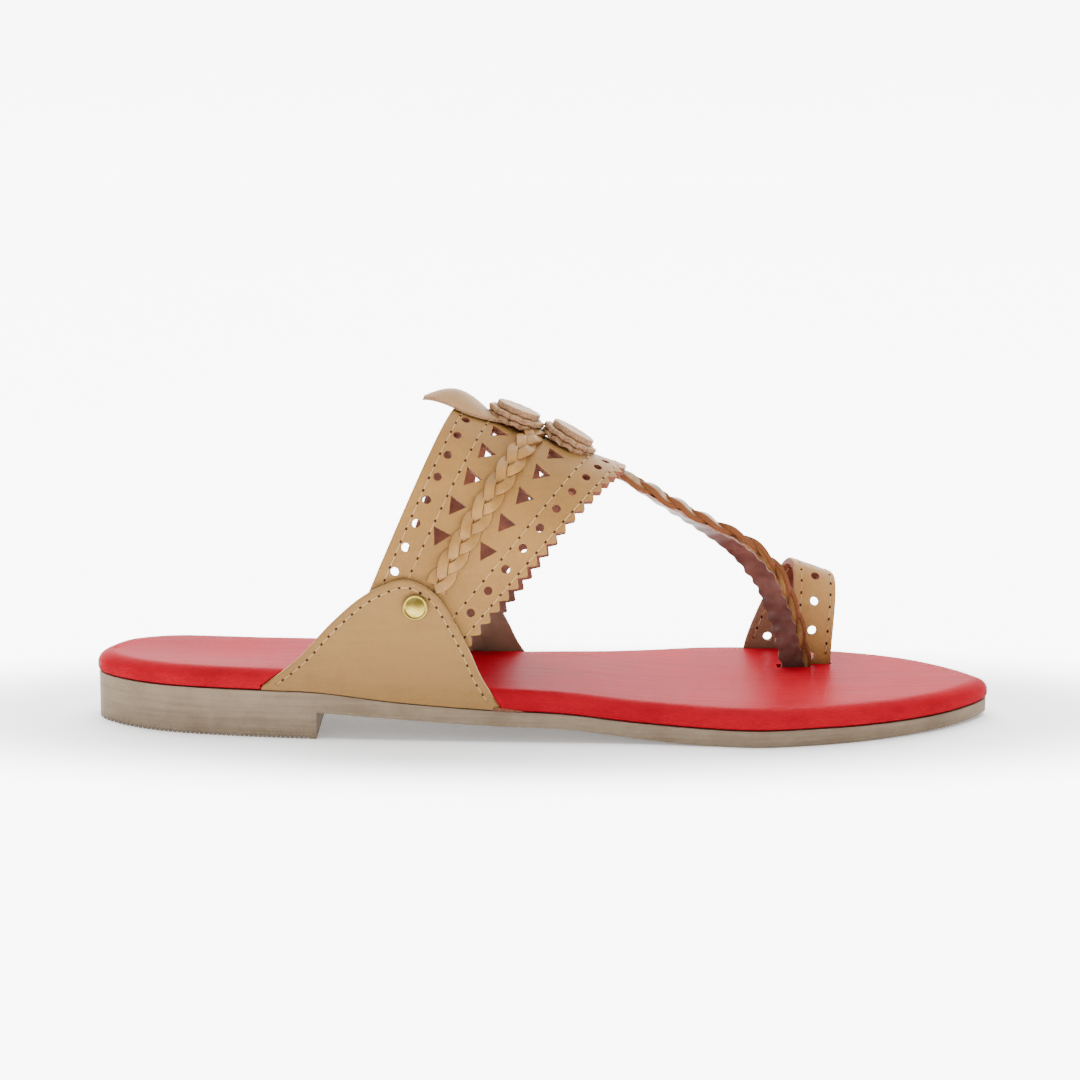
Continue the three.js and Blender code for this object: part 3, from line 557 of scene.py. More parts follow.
def lining_leather(name, light, dark, gloss, edge_or_painted_light=None):
    finish = Finish(name, Specular_IOR_Level=gloss)
    mottle = finish.noise(120, 4, 0.6)
    fibre = finish.noise(2200, 3)
    base = finish.mix(dark, light, mottle.ramp(0.3, 0.7))
    if edge_or_painted_light:
        # Painted light: below these heights the lining turns to a paler colour.
        height = finish.node("SeparateXYZ", {0: finish.place})["Z"]
        base = finish.mix(edge_or_painted_light, base, height.ramp(*PAINTED_LIGHT_HEIGHTS))
    return finish.feed(Base_Color=base, Roughness=0.36 + 0.2 * mottle, height=0.04 * fibre)


def raw_edge(name, light, dark):
    finish = Finish(name, Specular_IOR_Level=0.2)
    fibre = finish.noise(1800, 4, 0.7)
    base = finish.mix(dark, light, fibre.ramp(0.3, 0.7))
    return finish.feed(Base_Color=base, Roughness=0.85, height=0.14 * fibre)


# The last colour is the paler painted light near the lining's foot.
LINING = lining_leather("lining_brown_painted_light", "#754636", "#4e2d22", 0.1, "#7f6350")
THONG_LINING = lining_leather("lining_thong", "#614037", "#402722", 0.35)
CUT_EDGE = raw_edge("cut_edge_brown", "#7a4a36", "#4f2c20")
TRIM_EDGE = raw_edge("cut_edge_trim", "#8c6a4b", "#604531")
PALE_EDGE = raw_edge("cut_edge_pale", "#ab8b5e", "#8c6c42")
PINK_EDGE = raw_edge("cut_edge_pink", "#a88476", "#7d5c50")
print("leathers made:", len(bpy.data.materials))


# %% [markdown]
# A punched or cut wall has three kinds of face: grain outside, lining inside and the cut between.
# Each face is compared with the surface's own normal at the nearest grid point, which tells the
# three apart without any painting by hand.

# %% Give each face its leather
FACE_SLANT = 0.55


def dress(piece, points, out, grain, edge, lining):
    """Gives a piece its three leathers, by the outward direction at points beside its faces."""
    tree = KDTree(len(points))
    for i, point in enumerate(to_frame(points)):
        tree.insert(point, i)
    tree.balance()
    piece.data.materials.clear()
    for material in (grain, edge, lining):
        piece.data.materials.append(material)
    for face in piece.data.polygons:
        towards = face.normal.dot(Vector(out[tree.find(face.center)[1]]))
        face.material_index = 0 if towards > FACE_SLANT else 2 if towards < -FACE_SLANT else 1


def dress_on(piece, surface, share, x, *leathers):
    """Dresses a piece that lies on a surface, at shares and places of its grid."""
    points, out = surface(share, x), normals(surface, share, x)
    dress(piece, points.reshape(-1, 3), out.reshape(-1, 3), *leathers)


# %% [markdown]
# ## The instep band
# On the real shoe the band is cut flat from leather, lined, punched with a mallet and pinked
# along its front edge. The mesh follows the same order: a wall on the form, then one boolean cut
# with all the punches joined, because punches that don't touch can share a single cut. Its two
# edges come first. They sweep back from the crest to the feet in a soft bend.

# %% The band's two edges
BASE_REAR = 67.5
BASE_FRONT = 95.3
MEDIAL_SHIFT = 10
REAR_SOFTNESS = 0.12
FRONT_SOFTNESS = 0.22


def swept_edge(crest, base, softness):
    def at(share):
        share = np.asarray(share, float)
        bend = (np.hypot(share, softness) - softness) / (math.hypot(1, softness) - softness)
        foot = np.where(share < 0, base, base + MEDIAL_SHIFT)
        return crest - (crest - foot) * bend

    return at


rear_edge = swept_edge(CREST_REAR, BASE_REAR, REAR_SOFTNESS)
front_edge = swept_edge(CREST_FRONT, BASE_FRONT, FRONT_SOFTNESS)


def band_x(share, across):
    return rear_edge(share) + (front_edge(share) - rear_edge(share)) * across


print("band:", band_x(0, 1) - band_x(0, 0), "mm wide at the crest")

# %% [markdown]
# The rear edge is turned and rounded. A few extra columns close to it follow a quarter circle,
# which catches a thin line of light as the real edge does.

# %% The band's wall
EDGE_ROUND = 0.8
BAND_ROWS = 260
BAND_COLUMNS = 44
ROUND_STEPS = 5


def rounded_columns(width, radius, both):
    """Places across a strip, in millimetres, with how far the surface falls away at each."""
    angle = np.linspace(0, math.pi / 2, ROUND_STEPS)
    near = radius * (1 - np.cos(angle))
    fall = radius * (1 - np.sin(angle))
    middle = np.linspace(radius, width - (radius if both else 0), BAND_COLUMNS)[1:]
    if not both:
        return np.concatenate([near, middle]), np.concatenate([fall, 0 * middle])
    middle = middle[:-1]
    places = np.concatenate([near, middle, width - near[::-1]])
    return places, np.concatenate([fall, 0 * middle, fall[::-1]])


shares = np.linspace(-1, 1, BAND_ROWS)[:, None]
widths = front_edge(shares[:, 0]) - rear_edge(shares[:, 0])
places, falls = zip(*(rounded_columns(w, EDGE_ROUND, False) for w in widths))
band_at = rear_edge(shares) + np.array(places)
outside = lifted(form, shares, band_at, -np.array(falls))
inside = lifted(form, shares, band_at, np.array(falls) - BAND_THICKNESS)
band = make("instep_band", *wall(outside, inside), "upper")
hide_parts("upper")
print("band wall:", len(band.data.polygons), "faces")


# %% [markdown]
# Holes don't follow the grid's lines, so they are cut with a boolean. The modifier is applied at
# once and its cutter thrown away, which leaves the piece one plain mesh, ready for its leathers.

# %% Gather and cut
def gather(parts):
    """Several lots of points and faces as one. Faces may differ in their number of sides."""
    points, faces, start = [], [], 0
    for some, rounds in parts:
        points.append(some)
        faces += [[k + start for k in face] for face in rounds]
        start += len(some)
    return np.vstack(points), faces


def cut(piece, cutter):
    """Takes cutter's solid out of piece, applies it, and throws the cutter away."""
    change = piece.modifiers.new("cut", "BOOLEAN")
    change.operation = "DIFFERENCE"
    change.solver = "MANIFOLD"
    change.object = cutter
    bpy.context.view_layer.update()
    graph = bpy.context.evaluated_depsgraph_get()
    result = bpy.data.meshes.new_from_object(piece.evaluated_get(graph))
    piece.modifiers.clear()
    old, piece.data = piece.data, result
    result.name = old.name
    bpy.data.meshes.remove(old)
    bpy.data.objects.remove(cutter)
    piece.data.set_sharp_from_angle(angle=math.radians(40))


# %% [markdown]
# A punch is a prism that stands square on the form. Circles have many sides, triangles three,
# and the pinking is a square punch with one corner towards the heel.

# %% A punch
def prism(foot, normal, line, radius, sides, reach):
    """A prism on a surface, with one corner turned forwards from the line it follows."""
    ahead = unit(np.cross(line, normal))
    side = np.cross(normal, ahead)
    turn = 2 * math.pi * np.arange(sides) / sides
    ring = radius * (np.cos(turn)[:, None] * ahead + np.sin(turn)[:, None] * side)
    points = np.vstack([foot + ring + normal * reach, foot + ring - normal * reach])
    i = np.arange(sides)
    j = (i + 1) % sides
    sides_round = np.stack([i, j, j + sides, i + sides], -1)
    return points, [*sides_round.tolist(), i[::-1].tolist(), (i + sides).tolist()]


def punch(surface, share, x, radius, sides, line=(0, 1, 0)):
    place = np.array(share), np.array(x)
    foot, normal = surface(*place), normals(surface, *place)
    return prism(foot, normal, np.array(line), radius, sides, 2 * BAND_THICKNESS)


# %% [markdown]
# Each row of holes runs from near the crest down both sides of the arch. A row's place across
# the band may shift from crest to foot, because the band narrows. The teeth are spaced by length
# along the front edge, as a pinking tool steps along it.

# %% Punch the band
CIRCLE_DIAMETER = 2.45
TRIANGLE_SIDE = 5.5
TOOTH_PITCH = 4.2
TOOTH_DEPTH = 1.8
TOOTH_STEP = 0.002
HOLE_ROWS = table(
    "crest foot start end count sides",
    (0.095, 0.13, 0.109, 0.632, 8, 20),
    (0.285, 0.3, 0.116, 0.505, 5, 3),
    (0.63, 0.63, 0.139, 0.525, 5, 3),
    (0.89, 0.78, 0.05, 0.717, 10, 20),
)
punches = []


def run_along(points):
    """How far along a line each of its points lies."""
    return np.concatenate([[0], np.cumsum(np.linalg.norm(np.diff(points, axis=0), axis=1))])


for crest, foot, start, end, count, sides in zip(*HOLE_ROWS.values()):
    radius = TRIANGLE_SIDE / math.sqrt(3) if sides == 3 else CIRCLE_DIAMETER / 2
    for share in np.linspace(start, end, int(count)):
        for side in (-1, 1):
            x = band_x(side * share, crest + (foot - crest) * share)
            punches.append(punch(form, side * share, float(x), radius, int(sides)))

edge_shares = np.linspace(0, 1, 201)
for side in (-1, 1):
    run = run_along(form(side * edge_shares, front_edge(side * edge_shares)))
    teeth = round(run[-1] / TOOTH_PITCH)
    for i in range(1, teeth):
        share = np.interp(run[-1] * (i + 0.5) / teeth, run, edge_shares)
        near = side * np.array([share - TOOTH_STEP, share + TOOTH_STEP])
        behind, ahead = form(near, front_edge(near))
        x = float(front_edge(side * share))
        punches.append(punch(form, side * share, x, TOOTH_DEPTH, 4, side * (ahead - behind)))
cut(band, make("punches", *gather(punches), None))
dress_on(band, form, shares, band_at, LEATHER, CUT_EDGE, LINING)
print("band punched:", len(punches), "holes and notches,", len(band.data.polygons), "faces")


# %% [markdown]
# ## Stitches
# A stitch is a short arch of waxed thread between two awl holes. One function takes points and
# normals along a seam and returns thread and holes, and both are joined into one mesh for each
# kind, because a thousand small objects would slow Blender down far more than one large mesh.

# %% A tube
def sideways(path, out):
    """The directions across a path and square off it, where out points roughly away from it."""
    ahead = unit(np.gradient(path, axis=0))
    side = unit(np.cross(ahead, out))
    return side[:, None], np.cross(side, ahead)[:, None]


def tube(path, out, radius, sides=6, flat=1.0):
    """A tube along a path, flattened along its outward direction, as a closed solid."""
    side, up = sideways(path, out)
    turn = 2 * math.pi * (np.arange(sides) + 0.5)[:, None] / sides
    radius = np.broadcast_to(radius, len(path))[:, None, None]
    return loft(path[:, None] + radius * (np.cos(turn) * side + flat * np.sin(turn) * up))


# %% [markdown]
# A seam is walked by length, as a needle does, so its stitches stay even where it bends. A thread
# comes up out of one hole and bows down into the next. A hole is a short, dark, pointed tube,
# painted shade where the inside of the awl's hole would lie in shadow.

# %% Thread and awl holes
THREAD_RADIUS = 0.135
HOLE_RADIUS = 0.6
HOLE_SINK = 0.55
HOLE_FLAT = 0.75
HOLE_REACH = 1.35
HOLE_TAPER = np.array([0.35, 0.85, 1, 0.85, 0.35])
STITCH_GAP = 0.1
STITCH_POINTS = 7
STITCH_BOW = np.sin(np.linspace(0, math.pi, STITCH_POINTS)) ** 0.6
STITCH_RISE, STITCH_SINK = 1.35, 0.9


def seam(path, out, pitch):
    """Threads and holes of a seam, as two lists of points and faces."""
    run = run_along(path)
    marks = np.linspace(0, run[-1], max(2, round(run[-1] / pitch)) + 1)

    def pick(values, at):
        return np.stack([np.interp(at, run, values[:, k]) for k in range(3)], 1)

    threads, holes = [], []
    for start, end in zip(marks[:-1], marks[1:]):
        at = np.linspace(start + STITCH_GAP * pitch, end - STITCH_GAP * pitch, STITCH_POINTS)
        normal = pick(out, at)
        rise = THREAD_RADIUS * (STITCH_RISE * STITCH_BOW - STITCH_SINK)
        threads.append(tube(pick(path, at) + normal * rise[:, None], normal, THREAD_RADIUS))
    reach = HOLE_RADIUS * HOLE_REACH
    for mark in np.clip(marks, reach, run[-1] - reach):
        at = mark + np.linspace(-1, 1, len(HOLE_TAPER)) * reach
        normal = pick(out, at)
        middle = pick(path, at) - normal * HOLE_RADIUS * HOLE_SINK
        holes.append(tube(middle, normal, HOLE_RADIUS * HOLE_TAPER, 8, HOLE_FLAT))
    return threads, holes


# %% [markdown]
# The thread is waxed cotton, twisted and a little paler than the leather. The holes are only
# dark marks that lie in the surface: painted shade, which reads the same as the shadowed inside
# of a real hole of under a millimetre and costs no boolean.

# %% Thread and hole finishes
finish = Finish("thread_cream", Specular_IOR_Level=0.4)
twist = finish.noise(2600, 2)
base = finish.mix("#94744a", "#b39260", twist)
THREAD = finish.feed(Base_Color=base, Roughness=0.6, height=0.05 * twist)
# Painted shade: near-black marks stand for the shadowed inside of each awl hole.
finish = Finish("awl_hole_painted_shade", Specular_IOR_Level=0.1)
base = finish.mix("#1d0f08", "#3a2015", finish.noise(1500))
HOLE_SHADE = finish.feed(Base_Color=base, Roughness=0.9)


def sew(name, seams, slot):
    """Makes the threads and the holes of some seams as two meshes."""
    for kind, finish, part in (("thread", THREAD, 0), ("holes", HOLE_SHADE, 1)):
        lots = [lot for one in seams for lot in one[part]]
        piece = make(name + "_" + kind, *gather(lots), slot)
        piece.data.materials.append(finish)
    print(name, "has", sum(len(one[0]) for one in seams), "stitches")


# %% [markdown]
# Four seams run over the band, beside its rows of circles. The plait and the rosettes hide none
# of them at the sides, and they stop under the tabs.

# %% Seams of the band
STITCH_PITCH = 3.9
SEAMS = table(
    "crest foot end",
    (0.06, 0.12, 0.7),
    (0.21, 0.3, 0.66),
    (0.79, 0.59, 0.76),
    (0.95, 0.85, 0.86),
)
band_seams = []
for crest, foot, end in zip(*SEAMS.values()):
    share = np.linspace(-end, end, 240)
    x = band_x(share, crest + (foot - crest) * np.abs(share) ** 3)
    band_seams.append(seam(form(share, x), normals(form, share, x), STITCH_PITCH))
sew("band_seam", band_seams, "upper")

# %% [markdown]
# ## The plaits
# A flat plait of three strands is three ribbons on the same path, a third of a turn apart: each
# swings from side to side as a sine, and rises over and dips under its neighbours as a sine of
# twice the pace. The ribbons are swept by hand here, because a curve object's bevel can't hold
# the strand's flat face up while it turns.

# %% A strand
STRAND_STEP = 0.45
STRAND_SECTION = table(
    "across height edge",
    (1, 0.3, 1),
    (0.93, 0.76, 0.9),
    (0.76, 0.95, 0.3),
    (0.3, 1.02, 0),
    (-0.3, 1.02, 0),
    (-0.76, 0.95, 0.3),
    (-0.93, 0.76, 0.9),
    (-1, 0.3, 1),
)


def ribbon(path, out, width, thickness):
    """A flat strand with bevelled edges, and for each of its points how near it is to an edge."""
    side, up = sideways(path, out)
    across, height, edge = STRAND_SECTION.values()
    across = np.append(across, across[::-1])[:, None] * width / 2
    height = np.append(height, -height[::-1])[:, None] * thickness / 2
    near = np.tile(np.append(edge, edge[::-1]), len(path))
    return loft(path[:, None] + across * side + height * up), near


def strand(name, place, length, turn, stitch, swing, width, thickness, rise, rolls):
    """One strand of a plait. place gives points and normals for lengths along, aside and up."""
    along = np.linspace(0, length, int(length / STRAND_STEP))
    angle = 2 * math.pi * (along / (3 * stitch) + turn / 3)
    aside = swing * np.sin(angle)
    up = rise * np.sin(2 * angle)
    path, out = place(along, aside, up)
    beside = unit(place(along, aside + 0.1, up)[0] - place(along, aside - 0.1, up)[0])
    tilt = np.radians(np.where(aside > 0, *rolls) * np.sin(angle))[:, None]
    rolled = out * np.cos(tilt) + beside * np.sin(tilt)
    (points, faces), edge = ribbon(path, rolled, width, thickness)
    piece = make(name, points, faces, "upper", 35)
    edge_or_painted_light = piece.data.attributes.new("edge", "FLOAT", "POINT")
    edge_or_painted_light.data.foreach_set("value", edge.astype(np.float32))
    return piece


def plait(name, place, length, finish, **sizes):
    """Three strands of one leather, a third of a turn apart."""
    for turn in range(3):
        piece = strand(f"{name}_strand_{turn}", place, length, turn, **sizes)
        piece.data.materials.append(finish)
    print(name, "plait:", round(length, 1), "mm long")


# %% [markdown]
# The strands have a smooth tan face and fuzzy orange-brown sides, where the knife has cut them
# from the hide. The `edge` value stored with each point steers the colour between the two.

# %% Strand leather
def strand_finish(name, light, dark, side, frayed=0.62):
    finish = Finish(name, Specular_IOR_Level=0.22)
    edge = finish.attribute("edge")
    cloud = finish.noise(160, 3, 0.6)
    fibre = finish.noise(1600, 4, 0.7)
    face = finish.mix(dark, light, cloud.ramp(0.25, 0.7))
    raw = (edge + 0.5 * (fibre - 0.5)).ramp(frayed, frayed + 0.3)
    base = finish.mix(face, side, raw)
    height = 0.05 * fibre + 0.08 * raw * fibre
    return finish.feed(Base_Color=base, Roughness=0.5 + 0.35 * raw, height=height)


BAND_STRAND = strand_finish("strand_tan", "#906937", "#785527", "#53320f")
THONG_STRAND = strand_finish("strand_thong", "#8a673c", "#6d4e2a", "#5f3417", 0.08)
print("strand leathers:", BAND_STRAND.name, THONG_STRAND.name)

# %% [markdown]
# The plait ends under the side tabs, so their upper edge is worked out first: a bell, leaning
# forwards, that is given by a table of shares. The inner tab is lower and stands further forward.

# %% The tabs' upper edge
TAB_REAR = 49.4
TAB_LENGTH = 66.5
TAB_HEIGHT = {-1: 34.4, 1: 31}
TAB_EDGE = table(
    "along up",
    (0, 0.03),
    (0.16, 0.28),
    (0.29, 0.57),
    (0.415, 0.81),
    (0.52, 0.945),
    (0.6, 1),
    (0.69, 0.955),
    (0.75, 0.865),
    (0.81, 0.69),
    (0.875, 0.46),
    (0.92, 0.265),
    (1, 0.03),
)
tab_edge = smooth(TAB_EDGE, "along", "up")


def tab_rear(side):
    return TAB_REAR + (MEDIAL_SHIFT if side > 0 else 0)


def tab_top(x, side):
    return TAB_HEIGHT[side] * tab_edge((x - tab_rear(side)) / TAB_LENGTH)


print("tabs:", TAB_HEIGHT[-1], "and", TAB_HEIGHT[1], "mm high")

# %% [markdown]
# On the band the path is the band's own middle line. Moving aside squarely from a line that
# runs aslant over the form also moves a little along it, so both shares change together.

# %% The band's plait
BAND_PLAIT_ACROSS = 0.46
BAND_STRANDS = dict(stitch=6.3, swing=1.75, width=3.2, thickness=1.15, rise=0.55, rolls=(14, 14))
BAND_STRAND_LIFT = 0.75
PLAIT_CLEAR = 1.2
MEASURED_TO = 0.4
crest_point, side_point = (form(s, band_x(s, BAND_PLAIT_ACROSS)) for s in (0, MEASURED_TO))
half_length = float(np.linalg.norm(crest_point - side_point) / MEASURED_TO)


def plait_end(side):
    """The share at which the plait goes under the side tab's upper edge."""
    share = 0.9
    while True:
        x = float(band_x(side * share, BAND_PLAIT_ACROSS))
        if (1 - share) * half_arch(x, side) > tab_top(x, side) + PLAIT_CLEAR:
            return share
        share -= 0.005


plait_start, plait_stop = -plait_end(-1), plait_end(1)
line_shares = np.linspace(plait_start, plait_stop, 200)
line_run = run_along(form(line_shares, band_x(line_shares, BAND_PLAIT_ACROSS)))


def on_band(along, aside, up):
    share = np.interp(along, line_run, line_shares)
    behind, ahead = (band_x(share + step, BAND_PLAIT_ACROSS) for step in (-SHARE_STEP, SHARE_STEP))
    sweep = (ahead - behind) / (2 * SHARE_STEP)
    slope = sweep / half_length
    place = share - aside * sweep / half_length**2
    x = band_x(place, BAND_PLAIT_ACROSS) + aside * np.hypot(1, slope)
    return lifted(form, place, x, BAND_STRAND_LIFT + up), normals(form, place, x)


plait("band", on_band, line_run[-1], BAND_STRAND, **BAND_STRANDS)

# %% [markdown]
# ## The thong
# From under the band's crest a lined plait goes down between the first two toes. It turns a
# quarter on its way, so that its brown lining faces the outer side at the bottom. The route is
# the CAD's, and a curve through it gives each ring its place, direction and turn.

# %% The thong's route
THONG_WIDTH = 6.6
THONG_THICKNESS = 1.5
THONG_ROOT_AT = 139
THONG_ROOT_DEPTH = 2.5
THONG_SLOT_AT = 201.4
THONG_SLOT_ASIDE = 0.191 * BALL_WIDTH
THONG_TWIST = 90
THONG_PLAIT_WIDTH = 8.6
THONG_PLAIT_HEIGHT = 2.5
THONG_PLAIT_STITCH = 8.7
THONG_ROUTE = table(
    "along aside drop twist plait",
    (0, 0, 0, 0, 0),
    (0.19, 0.017, 0.104, 0.05, 0.6),
    (0.265, 0.045, 0.154, 0.1, 1),
    (0.39, 0.123, 0.23, 0.16, 1),
    (0.545, 0.25, 0.322, 0.25, 1),
    (0.67, 0.38, 0.397, 0.42, 1),
    (0.75, 0.48, 0.461, 0.55, 1),
    (0.813, 0.57, 0.531, 0.66, 1),
    (0.862, 0.66, 0.595, 0.73, 1),
    (0.905, 0.76, 0.693, 0.8, 0.95),
    (0.945, 0.85, 0.787, 0.89, 0.9),
    (0.974, 0.94, 0.9, 0.97, 0.8),
    (1, 1, 1, 1, 0.75),
)
thong_root = np.array([THONG_ROOT_AT, 0, crest_height(THONG_ROOT_AT) - THONG_ROOT_DEPTH])
thong_end = np.array([THONG_SLOT_AT, THONG_SLOT_ASIDE, float(insole_top(THONG_SLOT_AT))])
steps = np.stack([THONG_ROUTE[name] for name in ("along", "aside", "drop")], 1)
route_points = thong_root + (thong_end - thong_root) * steps
below = thong_end - [0, 0, INSOLE_THICKNESS / 2]
lowest = np.array([*thong_end[:2], float(base_height(THONG_SLOT_AT))])
route_points = np.vstack([route_points, below, lowest])
route_share = np.linspace(0, 1, len(route_points))
route_rows = {"t": route_share}
for name in ("twist", "plait"):
    route_rows[name] = np.append(THONG_ROUTE[name], [THONG_ROUTE[name][-1]] * 2)
thong_twist, thong_plait = (smooth(route_rows, "t", name) for name in ("twist", "plait"))
fine_shares = np.linspace(0, 1, 600)
fine_run = run_along(spline(route_points, fine_shares))
print("thong:", round(fine_run[-1], 1), "mm long")

# %% [markdown]
# A place on the thong needs more than a point: it also needs a sideways and an outward direction,
# and both turn with the twist. The lining and the three strands share this one function.

# %% The thong's directions
def thong_frame(along):
    """Middle, sideways direction, outward direction and share of the thong at lengths along it."""
    t = np.interp(along, fine_run, fine_shares)
    middle = spline(route_points, t)
    behind, ahead = (spline(route_points, np.clip(t + step, 0, 1)) for step in (-1e-3, 1e-3))
    ahead = unit(ahead - behind)
    away = unit(np.array([0, 1, 0]) - ahead * ahead[:, 1:2])
    over = np.cross(ahead, away)
    roll = np.radians(THONG_TWIST * thong_twist(t))[:, None]
    side = -away * np.cos(roll) + over * np.sin(roll)
    out = over * np.cos(roll) + away * np.sin(roll)
    return middle, side, out, t


print("the slot faces", thong_frame(fine_run[-1:])[2].round(2))

# %% [markdown]
# The lining strap follows the strands sewn to it, so its edges wave in and out once a strand,
# and its faces ripple a little. It is a flat bar between two grids, bent along the route.

# %% The thong's lining
LINING_WAVE = 0.3
LINING_THICKNESS = 0.7
LINING_RIPPLE = 0.16
RIPPLE_LENGTH = 5.3


along = np.linspace(0, fine_run[-1], 320)
middle, side, out, t = thong_frame(along)
wave = LINING_WAVE * np.sin(2 * math.pi * along / (THONG_PLAIT_STITCH / 2))
half = (THONG_WIDTH / 2 + wave)[:, None, None]
uneven = 2 * math.pi * along / RIPPLE_LENGTH + 1.5 * np.sin(along / 7)
ripple = LINING_RIPPLE * np.sin(uneven) * thong_plait(t)
columns = np.linspace(-1, 1, 13)
fall = 0.1 - ripple[:, None] * columns[None]
across = columns[None, :, None] * half * side[:, None]
top = middle[:, None] + across + (LINING_THICKNESS + fall)[..., None] * out[:, None]
under = middle[:, None] + across + fall[..., None] * out[:, None]
piece = make("thong_lining", *wall(top, under), "upper")
dress(piece, middle, out, PALE_EDGE, PINK_EDGE, THONG_LINING)
print("thong's lining:", len(piece.data.polygons), "faces")

# %% [markdown]
# The strands lie on the lining's outer face. Towards the toe the real plait is pushed to one side
# and stands up past the lining's edge, where its cut sides show, so the path shifts aside and
# comes back to the middle only in the slot.

# %% The thong's plait
THONG_START = 9
THONG_STRANDS = dict(
    stitch=THONG_PLAIT_STITCH, swing=2.2, width=3.9, thickness=1.7, rise=0.75, rolls=(35, 10)
)
THONG_STRAND_LIFT = 1.5
THONG_STRAND_SHIFT = 2.5


def on_thong(along, aside, up):
    along = along + THONG_START
    middle, side, out, t = thong_frame(along)
    height = LINING_THICKNESS + (THONG_STRAND_LIFT + up) * np.clip(thong_plait(t), 0.5, 1)
    aside = aside + THONG_STRAND_SHIFT * np.clip(t / 0.4, 0, 1) ** 2 * (1 - t**8)
    return middle + side * aside[:, None] + out * height[:, None], out


plait("thong", on_thong, fine_run[-1] - THONG_START, THONG_STRAND, **THONG_STRANDS)

# %% [markdown]
# ## The toe loop
# A lined strap that stands on two legs over the big toe, higher at its rear edge. It is a
# surface of two shares again, round the toe and along the foot, so that the band's helpers for
# walls, punches and seams serve it unchanged.

# %% The loop's surface
LOOP_WIDTH = 12.3
LOOP_THICKNESS = 2
LOOP_HEIGHT_REAR = 28.7
LOOP_HEIGHT_FRONT = 24.5
LOOP_NEAR_AT = 200.6
LOOP_NEAR_ASIDE = 0.251 * BALL_WIDTH
LOOP_SPAN = 0.238 * BALL_WIDTH
LOOP_BACKSET = 12
LOOP_LEAN = 2.3
LOOP_SQUARENESS = 2.6


def loop_surface(share, ahead):
    share, ahead = np.broadcast_arrays(np.asarray(share, float), np.asarray(ahead, float))
    bounded = np.clip(share, 0, 1)
    angle = bounded * math.pi
    power = 2 / LOOP_SQUARENESS
    height = LOOP_HEIGHT_REAR + (LOOP_HEIGHT_FRONT - LOOP_HEIGHT_REAR) * ahead / LOOP_WIDTH
    aside = (1 - np.sign(np.cos(angle)) * np.abs(np.cos(angle)) ** power) / 2
    x = LOOP_NEAR_AT + LOOP_LEAN * np.sin(angle) - LOOP_BACKSET * bounded**3 + ahead
    rise = height * np.abs(np.sin(angle)) ** power
    return np.stack([x, LOOP_NEAR_ASIDE + LOOP_SPAN * aside, insole_top(x) + rise], -1)


print("toe loop's top:", loop_surface(0.5, 0).round(1))

# %% [markdown]
# The strap's two faces lie half its thickness to each side of the surface. Its feet go straight
# down through the insole, as one more row of points at each end.

# %% The loop's strap
LOOP_ROUND = 0.5
LOOP_FOOT_GAP = 0.2
loop_shares = np.linspace(0, 1, 120)[:, None]
loop_places, loop_falls = rounded_columns(LOOP_WIDTH, LOOP_ROUND, True)
loop_lift = LOOP_THICKNESS / 2 - loop_falls[None]
near_face = lifted(loop_surface, loop_shares, loop_places, -loop_lift)
far_face = lifted(loop_surface, loop_shares, loop_places, loop_lift)
feet = []
for end, turn in ((0, 1), (-1, -1)):
    foot = []
    for face, half in ((near_face, -turn), (far_face, turn)):
        row = face[end].copy()
        row[:, 1] = loop_surface(loop_shares[end], loop_places)[:, 1] + half * LOOP_THICKNESS / 2
        row[:, 2] = base_height(row[:, 0]) + LOOP_FOOT_GAP
        foot.append(row)
    feet.append(foot)
near_face = np.concatenate([feet[0][0][None], near_face, feet[1][0][None]])
far_face = np.concatenate([feet[0][1][None], far_face, feet[1][1][None]])
toe_loop = make("toe_loop_strap", *wall(near_face, far_face), "upper")
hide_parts("toe_loop")
print("toe loop:", len(toe_loop.data.polygons), "faces")

# %% [markdown]
# Nine holes follow the strap's middle, and a seam runs inside each edge. The thread shows on both
# faces, as it does on any sewn strap.

# %% The loop's holes and seams
LOOP_HOLE_DIAMETER = 2.6
LOOP_HOLES = (0.012, 0.088, 0.21, 0.36, 0.5, 0.65, 0.8, 0.9, 0.976)
LOOP_SEAMS = (2.1, LOOP_WIDTH - 1.6)
LOOP_STITCH = 3.7
holes = [punch(loop_surface, s, LOOP_WIDTH / 2, LOOP_HOLE_DIAMETER / 2, 20) for s in LOOP_HOLES]
cut(toe_loop, make("loop_punches", *gather(holes), None))
dress_on(toe_loop, loop_surface, loop_shares, loop_places, LOOP_PAINTED_LIGHT_LEATHER, CUT_EDGE, LINING)
loop_seams = []
for ahead in LOOP_SEAMS:
    share = np.linspace(0.015, 0.985, 200)
    for face in (-1, 1):
        out = face * normals(loop_surface, share, ahead + 0 * share)
        line = loop_surface(share, ahead + 0 * share) + out * LOOP_THICKNESS / 2
        loop_seams.append(seam(line, out, LOOP_STITCH))
sew("loop_seam", loop_seams, "upper")

# %% [markdown]
# ## The side tabs
# Each tab is a bell of thicker leather that hides the band's end. It is skived thin at its rim,
# so the wall is built on the form and both faces are drawn together over its last millimetres.

# %% A tab's two faces
rim_steps = 1 - 0.07 * (1 - np.linspace(0, 1, 7)[1:]) ** 2
TAB_COLUMNS = np.concatenate([np.linspace(0, 0.93, 22), rim_steps])
TAB_ROUND = 1.2
TAB_SKIVING = 0.8
TAB_SKIVING_UNDER = 0.2


